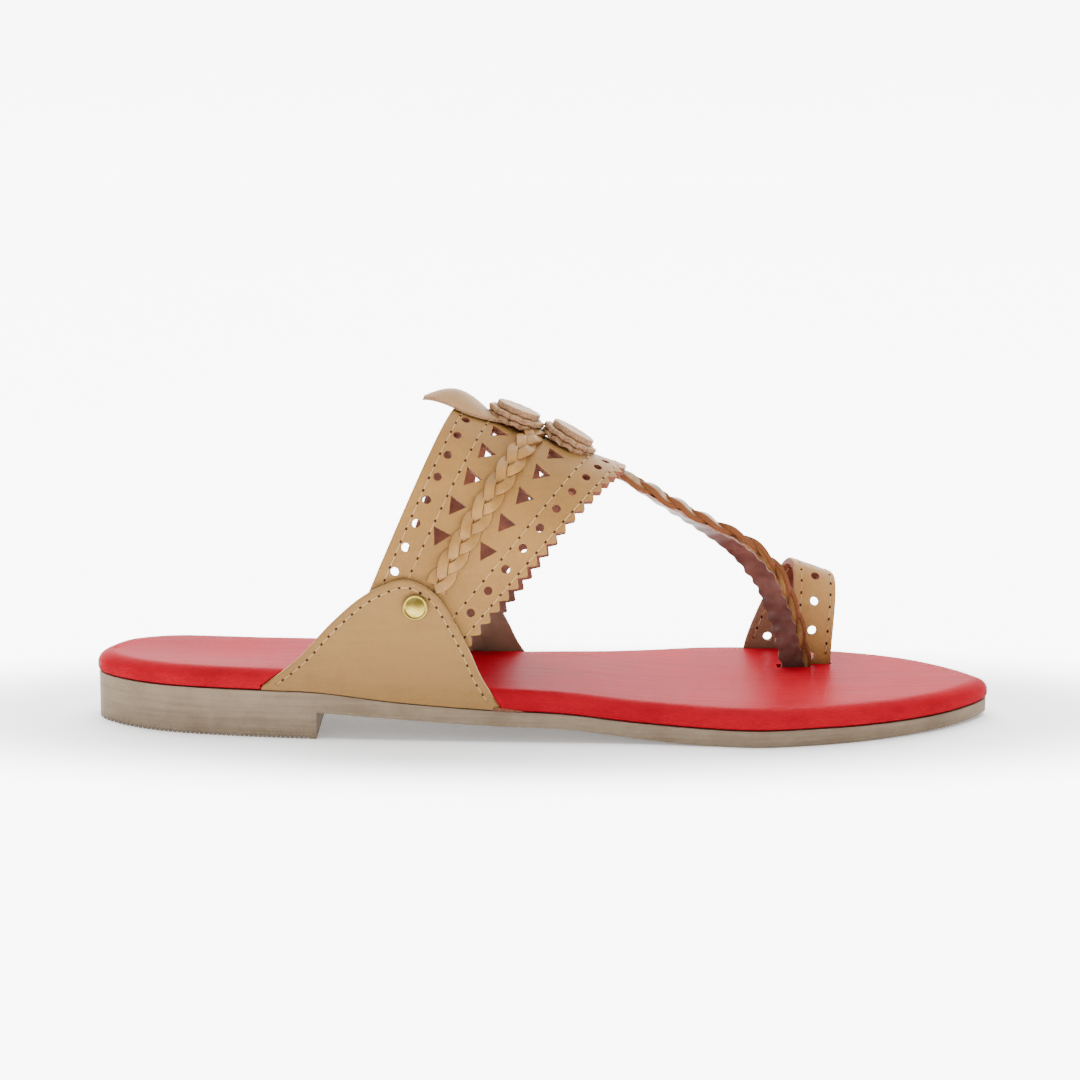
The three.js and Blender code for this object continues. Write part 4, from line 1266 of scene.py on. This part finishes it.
def tab_grids(side, low, high, margin=0):
    """The two faces of a tab between two lifts off the form, rounded to its rim."""
    along = np.linspace(0, 1, 90)[:, None]
    x = tab_rear(side) + TAB_LENGTH * along + margin * (2 * along - 1)
    up = tab_top(x, side) + margin
    rise = TAB_COLUMNS[None] * up
    share = side * (1 - rise / half_arch(x, side))
    left = np.clip((up - rise) / TAB_ROUND, 0, 1)
    thin = 0 if margin else (high - low) / 2 * (1 - np.sqrt(1 - (1 - left) ** 2)) * TAB_SKIVING
    x = np.broadcast_to(x, share.shape)
    lifts = (high - thin, low + thin * TAB_SKIVING_UNDER)
    return *(lifted(form, share, x, lift) for lift in lifts), share, x


# %% [markdown]
# Tab and seam are made together, one side after the other. The seam keeps a constant distance
# from the rim, so it is the rim's line moved inwards along its own square direction.

# %% The side tabs and their seams
SIDES = (("lateral", -1), ("medial", 1))
TAB_SEAM_INSET = 2.1
TAB_SEAM_SHARES = np.linspace(0.035, 0.98, 260)
TAB_SEAM_LOWEST = 0.5
TAB_STITCH = 3.1


def tab_seam(side):
    rim_x = tab_rear(side) + TAB_LENGTH * TAB_SEAM_SHARES
    slope = np.gradient(tab_top(rim_x, side), rim_x)
    inward = np.stack([slope, -np.ones_like(slope)], 1) / np.hypot(1, slope)[:, None]
    x = rim_x + inward[:, 0] * TAB_SEAM_INSET
    rise = tab_top(rim_x, side) + inward[:, 1] * TAB_SEAM_INSET
    x, rise = x[rise > TAB_SEAM_LOWEST], rise[rise > TAB_SEAM_LOWEST]
    share = side * (1 - rise / half_arch(x, side))
    out = normals(form, share, x)
    return seam(form(share, x) + out * (CLEARANCE + TAB_THICKNESS), out, TAB_STITCH)


for name, side in SIDES:
    top, under, share, x = tab_grids(side, CLEARANCE, CLEARANCE + TAB_THICKNESS)
    tab = make("tab_" + name, *wall(top, under), "tab")
    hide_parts("side_tab_" + name)
    dress_on(tab, form, share, x, TAB_LEATHER, PALE_EDGE, LINING)
sew("tab_seam", [tab_seam(side) for name, side in SIDES], "tab")

# %% [markdown]
# In front of the outer tab a feathered end of its leather, glued between insole and outsole,
# sticks out. It tells how the shoe was put together, so it gets a thin wall of its own.

# %% The tab's feathered end
SCRAP_LENGTH = 8.5
SCRAP_DEPTH = 3
SCRAP_HEIGHT = 0.9


along = np.linspace(0, 1, 24)[:, None]
x = tab_rear(-1) + TAB_LENGTH - 2 + SCRAP_LENGTH * along
reach = 0.5 * np.sin(math.pi * along**0.7) + 0.12 * np.sin(9 * along) - 0.3
edge = -(lateral_edge(x / SOLE_LENGTH) * BALL_WIDTH + reach)
y = edge + SCRAP_DEPTH * np.linspace(0, 1, 5)[None]
x = np.broadcast_to(x, y.shape)
low = base_height(x) - CLEARANCE / 2
thick = SCRAP_HEIGHT * (1 - along) ** 0.6 + 0.15
top, under = np.stack([x, y, low + thick], -1), np.stack([x, y, low], -1)
scrap = make("tab_feathered_end", *wall(top, under), "tab")
up = np.array([[0.0, 0.0, 1.0]])
dress(scrap, top.reshape(-1, 3), np.repeat(up, top.size // 3, 0), TAB_LEATHER, CUT_EDGE, LINING)
print("feathered end:", SCRAP_LENGTH, "mm long")

# %% [markdown]
# ## Rivets, leaf and rosettes
# The rivets are brass, polished once and now scratched and a little dull. Fine streaks in the
# roughness give the soft sparkle that a flat metal colour lacks.

# %% Brass
finish = Finish("brass", Metallic=1.0)
cloud = finish.noise(420, 3, 0.6)
scratch = finish.noise(1, 3, 0.7, finish.stretched(900, 900, 5200))
base = finish.mix("#7c682a", "#a08d49", cloud.ramp(0.25, 0.75))
BRASS = finish.feed(Base_Color=base, Roughness=0.24 + 0.16 * scratch, height=0.015 * scratch)
print("made:", BRASS.name)

# %% [markdown]
# A rivet is round, so a profile spun round its axis makes it whole: burr, shank, and a head with
# a raised ring round a low dome. Blender's own cylinders would need one for each of these.

# %% The rivets
RIVET_AT = 92.6
RIVET_UP = 27.2
RIVET_DIAMETER = 7.1
RIVET_HEIGHT = 1.4
SHANK_DIAMETER = 2.8
BURR_DIAMETER = 5.6
BURR_THICKNESS = 0.8


def end_faces(rows, size):
    """The two faces that close a tube of rings."""
    return [list(range(size)), list(range((rows - 1) * size, rows * size))]


def spun(profile, foot, normal, count=48):
    """A closed solid from a profile of radius and height spun round a normal at a foot."""
    side = unit(np.cross(normal, [0.3, 0.2, 1]))
    other = np.cross(normal, side)
    turn = 2 * math.pi * np.arange(count) / count
    ring = np.cos(turn)[:, None] * side + np.sin(turn)[:, None] * other
    points = [foot + r * ring + h * normal for r, h in profile]
    faces = grid_faces(len(profile), count, wrap=True).tolist()
    return np.vstack(points), faces + end_faces(len(profile), count)


RIM_ROUND = 0.2
HEAD_RING = ((0, 0.55), (0.12, 0.74), (0.35, 0.8), (0.62, 0.72), (0.8, 0.66))
HEAD_DOME = ((0.6, 0.8), (0.35, 0.93))
head = TAB_THICKNESS + 2 * CLEARANCE
back = -BAND_THICKNESS - CLEARANCE
radius, burr, shank = RIVET_DIAMETER / 2, BURR_DIAMETER / 2, SHANK_DIAMETER / 2
RIVET_PROFILE = [
    (burr - RIM_ROUND, back - BURR_THICKNESS),
    (burr, back - BURR_THICKNESS + RIM_ROUND),
    (burr, back),
    (shank, back),
    (shank, head),
    (radius - RIM_ROUND / 2, head),
    (radius, head + RIM_ROUND),
    *((radius - inset, head + up * RIVET_HEIGHT) for inset, up in HEAD_RING),
    *((radius * share, head + up * RIVET_HEIGHT) for share, up in HEAD_DOME),
    (0.05, head + RIVET_HEIGHT),
]
for name, side in SIDES:
    x = np.array(RIVET_AT + (MEDIAL_SHIFT if side > 0 else 0), float)
    up = RIVET_UP * TAB_HEIGHT[side] / TAB_HEIGHT[-1]
    share = side * (1 - up / half_arch(x, side))
    points = spun(RIVET_PROFILE, form(share, x), normals(form, share, x))
    rivet = make("rivet_head_" + name, *points, "rivet", 30)
    rivet.data.materials.append(BRASS)
    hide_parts("rivet_" + name)
print("rivets made")

# %% [markdown]
# The leaf is cut to a point at its tip, crowned along its middle, and droops over the band's
# rear edge. It lies on the same form as the band, lifted off it by its crown and its droop, so
# it follows the instep without being bent by a modifier.

# %% The leaf
LEAF_TIP = 94.3
LEAF_LENGTH = 26.6
LEAF_WIDTH = 16
LEAF_THICKNESS = 1.3
LEAF_DROOP = 2.4
LEAF_CROWN = 2.7
LEAF_CROWNED = 0.66


along = np.linspace(0, 1, 70)[:, None]
across = np.sin(np.linspace(-1, 1, 31) * math.pi / 2)[None]
x = LEAF_TIP + LEAF_LENGTH * along
swell = np.sin(math.pi * np.clip(0.04 + 0.9 * along**0.9, 0, 1)) ** 0.8
aside = across * LEAF_WIDTH / 2 * swell
over = np.clip((CREST_REAR - x) / (CREST_REAR - LEAF_TIP), 0, 1)
crown = LEAF_CROWN * np.sin(math.pi * np.minimum(along / LEAF_CROWNED, 1))
lift = CLEARANCE - LEAF_DROOP * over**2 + crown * (1 - across**2)
share = aside / half_arch(np.broadcast_to(x, aside.shape), np.where(aside < 0, -1, 1))
x = np.broadcast_to(x, share.shape)
rim = 0.25 * np.abs(across) ** 12
top = lifted(form, share, x, lift + LEAF_THICKNESS - rim)
under = lifted(form, share, x, lift + rim)
leaf = make("leaf_cut", *wall(top, under), "trim", 50)
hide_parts("leaf")
LEAF_LEATHER = grain_leather("leather_trim", "#92704a", "#7b5c3a", 0.2)
dress_on(leaf, form, share, x, LEAF_LEATHER, TRIM_EDGE, LINING)
print("leaf:", len(leaf.data.polygons), "faces")

# %% [markdown]
# A rosette is a smooth disc on scalloped leather of two layers. The lobes curl up and down a
# little, which breaks the rim into the wavy line that the eye reads as a flower. A disc is a
# stack of rings, so the scallops are only a change of radius round the turn.

# %% A rosette's layer
ROSETTE_DIAMETER = 16.8
ROSETTE_THICKNESS = 1.5
ROSETTE_LOBES = 12
ROSETTE_LOBE_DEPTH = 0.9
DISC_DIAMETER = 12.9


def disc_rings(diameter, lobe_depth, curl, cup, lift, seat, count=144):
    """Rings from the middle of a disc's top, over its rim, to its underside, set down by seat."""
    turn = 2 * math.pi * np.arange(count) / count
    lobe = np.abs(np.cos(ROSETTE_LOBES * turn / 2)) ** 0.7
    rim = diameter / 2 - lobe_depth * (1 - lobe)
    half = ROSETTE_THICKNESS / 2
    shares = np.append(np.linspace(0.02, 0.93, 12), [0.97, 0.99, 1])
    shares = np.concatenate([shares, shares[::-1]])
    heights = np.append(np.full(12, half), [0.9 * half, 0.7 * half, 0.35 * half])
    heights = np.concatenate([heights, -heights[::-1] - seat])
    rings = []
    for share, height in zip(shares, heights):
        bend = cup * share**2 + curl * share**5 * np.cos(ROSETTE_LOBES * turn)
        r = share * rim
        rings.append(np.stack([r * np.cos(turn), r * np.sin(turn), height + bend + lift], 1))
    return np.array(rings)


# %% [markdown]
# The rear rosette lies on the leaf's end and the plait, the front one on the band where it falls
# towards the toe. Each is built flat and then tilted by its slope about the shoe's cross line.

# %% The rosettes
REAR_LIFT = 1.9 + CLEARANCE + ROSETTE_THICKNESS / 2
ROSETTES = {"rear": (119.3, 22, REAR_LIFT), "front": (134.8, 30, 2.25)}
LAYERS = (
    ("under", ROSETTE_DIAMETER - 0.7, ROSETTE_LOBE_DEPTH, 0.3, -0.35, -ROSETTE_THICKNESS, 0),
    ("scalloped", ROSETTE_DIAMETER, ROSETTE_LOBE_DEPTH, 0.22, -0.1, 0, 0),
    ("disc", DISC_DIAMETER, 0, 0.05, 0.1, ROSETTE_THICKNESS + CLEARANCE, CLEARANCE + 0.15),
)
for name, (x, slope, lift) in ROSETTES.items():
    foot = lifted(form, np.array(0.0), np.array(float(x)), lift)
    cos, sin = math.cos(math.radians(slope)), math.sin(math.radians(slope))
    turned = np.array([[cos, 0, -sin], [0, 1, 0], [sin, 0, cos]])
    for kind, *sizes in LAYERS:
        rings = disc_rings(*sizes) @ turned + foot
        rows, size = rings.shape[:2]
        faces = grid_faces(rows, size, wrap=True).tolist() + end_faces(rows, size)
        piece = make(f"rosette_{name}_{kind}_cut", rings.reshape(-1, 3), faces, "trim", 50)
        if kind != "under":
            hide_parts(f"rosette_{name}_{kind}")
        dress(piece, np.array([foot]), turned[2:], LEAF_LEATHER, TRIM_EDGE, LINING)
print("rosettes made")

# %% [markdown]
# ## The insole
# A padded footbed is foam under thin red leather, pulled over its edge. Its top can't be one flat
# face, because it is dished where heel and ball press. So each end of the stack of rings is
# filled by a grid that runs across the shoe from each point to its mirror one.

# %% A solid with filled ends
def capped(rings, columns, dish):
    """A solid from rings of an outline. The dish lowers the points of its last ring's grid."""
    rings = np.asarray(rings)
    rows, size = rings.shape[:2]
    points = [rings.reshape(-1, 3)]
    faces = grid_faces(rows, size, wrap=True).tolist()
    start = rows * size
    half = size // 2
    for ring in (0, rows - 1):
        left, right = rings[ring][1 : half - 1], rings[ring][::-1][1 : half - 1]
        share = np.linspace(0, 1, columns)[1:-1]
        inner = left[:, None] + (right - left)[:, None] * share[None, :, None]
        if ring:
            inner[..., 2] -= dish(inner, share[None])
        points.append(inner.reshape(-1, 3))
        index = np.empty((half - 2, columns), int)
        index[:, 0] = ring * size + 1 + np.arange(half - 2)
        index[:, -1] = ring * size + size - 2 - np.arange(half - 2)
        index[:, 1:-1] = start + np.arange((half - 2) * (columns - 2)).reshape(half - 2, -1)
        start += (half - 2) * (columns - 2)
        quads = np.stack([index[:-1, :-1], index[1:, :-1], index[1:, 1:], index[:-1, 1:]], -1)
        faces += quads.reshape(-1, 4).tolist()
        faces.append([ring * size, *index[0].tolist(), ring * size + size - 1])
        faces.append([ring * size + half - 1, *index[-1].tolist(), ring * size + half])
    return np.vstack(points), faces


# %% [markdown]
# Rings of the outline, each a little further in and higher, make the footbed's round shoulder.
# Sculpting would give the same softness, but the edge would leave the CAD solid's.

# %% The footbed
INSOLE_ROUND = 4.5
INSOLE_ROUND_HEIGHT = 3.6
INSOLE_LOWER_ROUND = 1
INSOLE_POINTS = 400
INSOLE_COLUMNS = 40
SHOULDER = INSOLE_THICKNESS - INSOLE_ROUND_HEIGHT
HEEL_DISH, HEEL_DISH_AT, HEEL_DISH_REACH = 0.5, 30, 26
BALL_DISH, BALL_DISH_AT, BALL_DISH_REACH = 0.3, 182, 30


def insole_levels():
    """How far in and how high each ring of the footbed lies."""
    for angle in np.radians([-90, -60, -30, 0]):
        lower = INSOLE_LOWER_ROUND
        yield lower * (1 - math.cos(angle)), lower * (1 + math.sin(angle))
    for angle in np.radians(np.linspace(5, 90, 14)):
        yield INSOLE_ROUND * (1 - math.cos(angle)), SHOULDER + INSOLE_ROUND_HEIGHT * math.sin(angle)


def pressed(points, share):
    """How far the padding is pressed in at points of the top, for shares across the shoe."""
    x = points[..., 0]
    heel = HEEL_DISH * np.exp(-(((x - HEEL_DISH_AT) / HEEL_DISH_REACH) ** 2))
    ball = BALL_DISH * np.exp(-(((x - BALL_DISH_AT) / BALL_DISH_REACH) ** 2))
    return (heel + ball) * np.sin(math.pi * share) ** 1.5


rings = []
for inset, height in insole_levels():
    line = outline(inset, INSOLE_POINTS)
    rings.append(np.column_stack([line, base_height(line[:, 0]) + height]))
insole = make("insole_cover", *capped(rings, INSOLE_COLUMNS, pressed), "insole", 60)
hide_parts("insole")
print("footbed:", len(insole.data.polygons), "faces")

# %% [markdown]
# The straps go down beside the footbed, between its edge and the outsole, and the thong and the
# loop's legs go through it. Each takes its own room out of the footbed, with the same clearance
# all round. A tab's cutter is the tab itself, made thicker.

# %% Notches and slots
CUTTER_HEIGHT = 3 * HEEL_HEIGHT
NOTCH_MARGIN = 0.6


def box(low, high):
    """A block between two corners, as points and faces."""
    (x0, x1), (y0, y1), (z0, z1) = zip(low, high)
    corners = [[x, y, z] for x in (x0, x1) for y in (y0, y1) for z in (z0, z1)]
    faces = [[0, 1, 3, 2], [4, 6, 7, 5], [0, 4, 5, 1], [2, 3, 7, 6], [0, 2, 6, 4], [1, 5, 7, 3]]
    return np.array(corners, float), faces


def band_notch(side):
    """What the band's end takes out of the insole's edge, inside the tab."""
    edge = lateral_edge if side < 0 else medial_edge
    high = side * (1 - 2 * INSOLE_THICKNESS / CREST_HEIGHT_REAR)
    start, end = float(rear_edge(side)) - NOTCH_MARGIN, float(front_edge(high)) + NOTCH_MARGIN
    x = np.linspace(start, end, 9)
    depth = BAND_INSET + BAND_THICKNESS + CLEARANCE
    inner_line = np.stack([x, side * (edge(x / SOLE_LENGTH) * BALL_WIDTH - depth)], 1)
    outer_line = np.stack([x, np.full(9, float(side * BALL_WIDTH))], 1)
    ring = np.vstack([inner_line, outer_line[::-1]])
    heights = (0.0, CUTTER_HEIGHT)
    return loft([np.column_stack([ring, np.full(len(ring), z)]) for z in heights])


for side in (-1, 1):
    cut(insole, make("band_notch", *band_notch(side), None))
    top, under, share, x = tab_grids(side, 0, 2 * BAND_INSET, CLEARANCE)
    top[:, 0, 2] -= 1
    under[:, 0, 2] -= 1
    cut(insole, make("tab_notch", *wall(top, under), None))
plait_depth = THONG_THICKNESS + THONG_PLAIT_HEIGHT * THONG_ROUTE["plait"][-1]
slots = [(THONG_SLOT_AT, THONG_SLOT_ASIDE + plait_depth / 2, THONG_PLAIT_WIDTH, plait_depth)]
for leg in (0, 1):
    x = LOOP_NEAR_AT - leg * LOOP_BACKSET + LOOP_WIDTH / 2
    slots.append((x, LOOP_NEAR_ASIDE + leg * LOOP_SPAN, LOOP_WIDTH, LOOP_THICKNESS))
for x, y, length, width in slots:
    half = np.array([length / 2 + CLEARANCE, width / 2 + CLEARANCE])
    low, high = np.array([x, y]) - half, np.array([x, y]) + half
    cut(insole, make("slot", *box([*low, -1], [*high, CUTTER_HEIGHT]), None))
print("insole:", len(insole.data.polygons), "faces")

# %% [markdown]
# The red is a smooth, lightly glazed leather. Its gloss is broken by a very fine grain and by
# faint pull marks along the shoe, which spread the studio's light into a pink sheen.

# %% Red leather
finish = Finish("leather_red", Specular_IOR_Level=0.006)
grain = finish.cells(1900)
fine = finish.noise(1400, 3)
cloud = finish.noise(30, 3, 0.6)
pull = finish.noise(1, 3, 0.6, finish.stretched(40, 260, 260))
base = finish.mix("#7f0816", "#950c1c", (cloud * 0.6 + pull * 0.4).ramp(0.25, 0.7))
rough = 0.34 + 0.1 * cloud + 0.08 * fine
height = 0.04 * grain + 0.03 * fine + 0.12 * pull
RED = finish.feed(Base_Color=base, Roughness=rough, height=height)
insole.data.materials.clear()
insole.data.materials.append(RED)
print("insole:", insole.data.materials[0].name)

# %% [markdown]
# ## The outsole
# The sole unit is one moulding with a low heel. It is lofted along the shoe, a section at each
# place, so that the cross ribs under the heel, the heel's upright breast and the arch are all
# only a matter of where the sections stand and how low they reach.

# %% Where the sections stand
SOLE_INSET = 0.4
RIB_PITCH = 1.3
RIB_DEPTH = 0.65
RIB_END, GROOVE_FROM, GROOVE_TO = 0.5, 0.66, 0.84
BREAST_ROUND, BREAST_LIFT = 0.3, 0.25
END_STEP = 0.02
TOE_FROM = 236


def sole_stations():
    """Places along the sole with the height of its underside at each."""
    ribs = math.floor((HEEL_LENGTH - RIB_PITCH) / RIB_PITCH)
    xs = outline(SOLE_INSET, 2000)[:, 0]
    heel_x, toe_x = float(xs.min()) + END_STEP, float(xs.max()) - END_STEP
    for share in np.linspace(0, 1, 14)[:-1] ** 2:
        yield heel_x + (RIB_PITCH / 2 - heel_x) * share, 0.0
    for i in range(ribs):
        x = i * RIB_PITCH
        if i:
            yield x, 0.0
        yield x + RIB_PITCH * RIB_END, 0.0
        yield x + RIB_PITCH * GROOVE_FROM, RIB_DEPTH
        yield x + RIB_PITCH * GROOVE_TO, RIB_DEPTH
    yield ribs * RIB_PITCH, 0.0
    yield HEEL_LENGTH - BREAST_ROUND, 0.0
    yield HEEL_LENGTH, BREAST_LIFT
    toe_shares = 1 - (1 - np.linspace(0, 1, 40)[1:]) ** 2
    middle = np.linspace(HEEL_LENGTH + END_STEP, TOE_FROM, 110)
    for x in np.append(middle, TOE_FROM + (toe_x - TOE_FROM) * toe_shares):
        yield x, float(sole_bottom(x))


print("sections:", len(list(sole_stations())))


# %% [markdown]
# Each section is a flat slab with softened lower corners, as wide as the outline is there. Its
# two ends are read off the outline, walked from the heel to the toe on either side.

# %% The outsole
SOLE_ROUND = 0.45
edge_line = outline(SOLE_INSET, 4000)
walk = np.roll(edge_line, -int(np.argmin(edge_line[:, 0])), 0)
tip = int(np.argmax(walk[:, 0]))
lateral_walk, medial_walk = walk[: tip + 1], walk[tip:][::-1]
section_columns = np.linspace(0, 1, 14)[1:-1]
sections = []
for x, low in sole_stations():
    y0 = np.interp(x, lateral_walk[:, 0], lateral_walk[:, 1])
    y1 = np.interp(x, medial_walk[:, 0], medial_walk[:, 1])
    high = float(sole_top(x))
    soft = min(SOLE_ROUND, (y1 - y0) / 4, (high - low) / 4)
    ends = soft * np.array([0, 0.12, 0.5, 1])
    middle = (y0 + soft) + (y1 - y0 - 2 * soft) * section_columns
    ys = np.concatenate([y0 + ends, middle, y1 - ends[::-1]])
    zs = np.concatenate([ends[::-1], 0 * middle, ends])
    bottom = np.column_stack([np.full(len(ys), x), ys, low + zs])
    top = np.column_stack([np.full(len(ys), x), ys, high - 0.4 * zs])
    sections.append(np.vstack([bottom, top[::-1]]))
outsole = make("sole_unit", *loft(sections), "outsole", 35)
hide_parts("outsole")
print("outsole:", len(outsole.data.polygons), "faces")

# %% [markdown]
# Its side has been trimmed and brushed: faint streaks run along the shoe and the tone shifts from
# grey to sand, with a few darker specks.

# %% Sole finish
finish = Finish("sole_taupe", Specular_IOR_Level=0.3)
streak = finish.noise(1, 5, 0.65, finish.stretched(26, 26, 900))
cloud = finish.noise(55, 4, 0.6)
speck = finish.cells(900)
fine = finish.noise(1300, 3)
tone = cloud * 0.55 + streak * 0.45
base = finish.mix("#6b5b48", "#84735f", tone.ramp(0.3, 0.68))
base = finish.mix(base, "#52463a", speck.ramp(0.28, 0.05) * 0.25)
height = 0.12 * streak + 0.08 * fine
rough = 0.72 + 0.12 * fine
outsole.data.materials.append(finish.feed(Base_Color=base, Roughness=rough, height=height))
print("outsole:", outsole.data.materials[0].name)

# %% [markdown]
# ## The studio
# The photograph was taken on white under broad soft light. A sheet of pale card runs flat under
# the shoe and curves up behind it, so no horizon shows. The card glows, which washes it out to
# white as in the photograph. Close to the shoe its emission fades to a dark patch: a painted
# shadow, which adds to the shoe's own soft shadow.

# %% The card
CARD_GLOW = 6
# Size of the painted shadow round the shoe, as inverse half-widths in metres.
PAINTED_SHADOW_SCALE = (1 / 0.14, 1 / 0.055, 1 / 0.055)
CARD_SIDE, CARD_FRONT, CARD_TOP = 6000, -4000, 6000
CARD_BEND_AT, CARD_BEND = 2600, 1500


across = np.linspace(-CARD_SIDE, CARD_SIDE, 3)
line = [(CARD_FRONT, 0)]
for a in np.linspace(0, math.pi / 2, 24):
    line.append((CARD_BEND_AT + CARD_BEND * math.sin(a), CARD_BEND * (1 - math.cos(a))))
line.append((CARD_BEND_AT + CARD_BEND, CARD_TOP))
points = np.array([[x, y, z] for y, z in line for x in across], float)
piece = make("card", points, grid_faces(len(line), 3), None)
finish = Finish("card_white_painted_shadow", Specular_IOR_Level=0.0, Emission_Strength=CARD_GLOW)
base = finish.mix("#f4f4f4", "#fafafa", finish.noise(3))
nearby = finish.stretched(*PAINTED_SHADOW_SCALE)
away = finish.node("VectorMath", {0: nearby}, operation="LENGTH")["Value"]
# Painted shadow: close to the shoe the card's emission falls to almost black.
glow_and_painted_shadow = finish.mix((0.05, 0.05, 0.05, 1), (1, 1, 1, 1), away.ramp(1, 1.9))
piece.data.materials.append(finish.feed(Base_Color=base, Emission_Color=glow_and_painted_shadow, Roughness=0.9))
piece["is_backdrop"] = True
print("card:", len(points), "points")

# %% [markdown]
# One wide lamp over the shoe gives the light, a low one in front opens the shadows on the side
# that the camera sees, and one behind draws the upper edges. Area lamps of a metre or more are
# soft at this distance, as a studio's light boxes are.

# %% Lamps
def lamp(name, place, aim, size, power):
    light = bpy.data.lights.new(name, "AREA")
    light.shape = "RECTANGLE"
    light.size, light.size_y = size
    light.energy = power
    piece = bpy.data.objects.new(name, light)
    piece.location = place
    piece.rotation_euler = (Vector(aim) - Vector(place)).to_track_quat("-Z", "Y").to_euler()
    bpy.context.scene.collection.objects.link(piece)
    piece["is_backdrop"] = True
    print(name, power, "W")


lamp("top_light", (0.0, 0.1, 1.3), (0, 0, 0), (1.6, 1.2), 32)
lamp("front_light", (-0.7, -1.3, 0.9), (0, 0, 0.04), (1.2, 0.9), 3)
lamp("back_light", (0.3, 1.5, 0.9), (0, 0, 0.03), (1.8, 0.8), 8)
SKY = 0.6
world = bpy.data.worlds.new("studio")
world.use_nodes = True
sky = world.node_tree.nodes["Background"]
sky.inputs["Color"].default_value = (1, 1, 1, 1)
sky.inputs["Strength"].default_value = SKY
bpy.context.scene.world = world

# %% [markdown]
# The camera stands where the photographer's did: level with the outer side of the shoe, ten
# degrees up, far enough for a long lens to keep the sole's lines calm.

# %% Camera
CAMERA_TARGET = (127, 4.5, 50.5)
CAMERA_DISTANCE = 0.9
CAMERA_PITCH = 10
LENS = 104.1
SENSOR = 36
pitch = math.radians(CAMERA_PITCH)
target = Vector(to_frame(CAMERA_TARGET))
camera_data = bpy.data.cameras.new("photographer")
camera_data.lens = LENS
camera_data.sensor_width = SENSOR
camera = bpy.data.objects.new("photographer", camera_data)
camera.location = target + CAMERA_DISTANCE * Vector((0, -math.cos(pitch), math.sin(pitch)))
camera.rotation_euler = (math.pi / 2 - pitch, 0, 0)
bpy.context.scene.collection.objects.link(camera)
bpy.context.scene.camera = camera
camera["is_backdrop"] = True
print("camera at", [round(c, 3) for c in camera.location])

# %% Finish
boxes = {"cad": cad_box, "visual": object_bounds()}
{name: [list(corner) for corner in pair] for name, pair in boxes.items()}
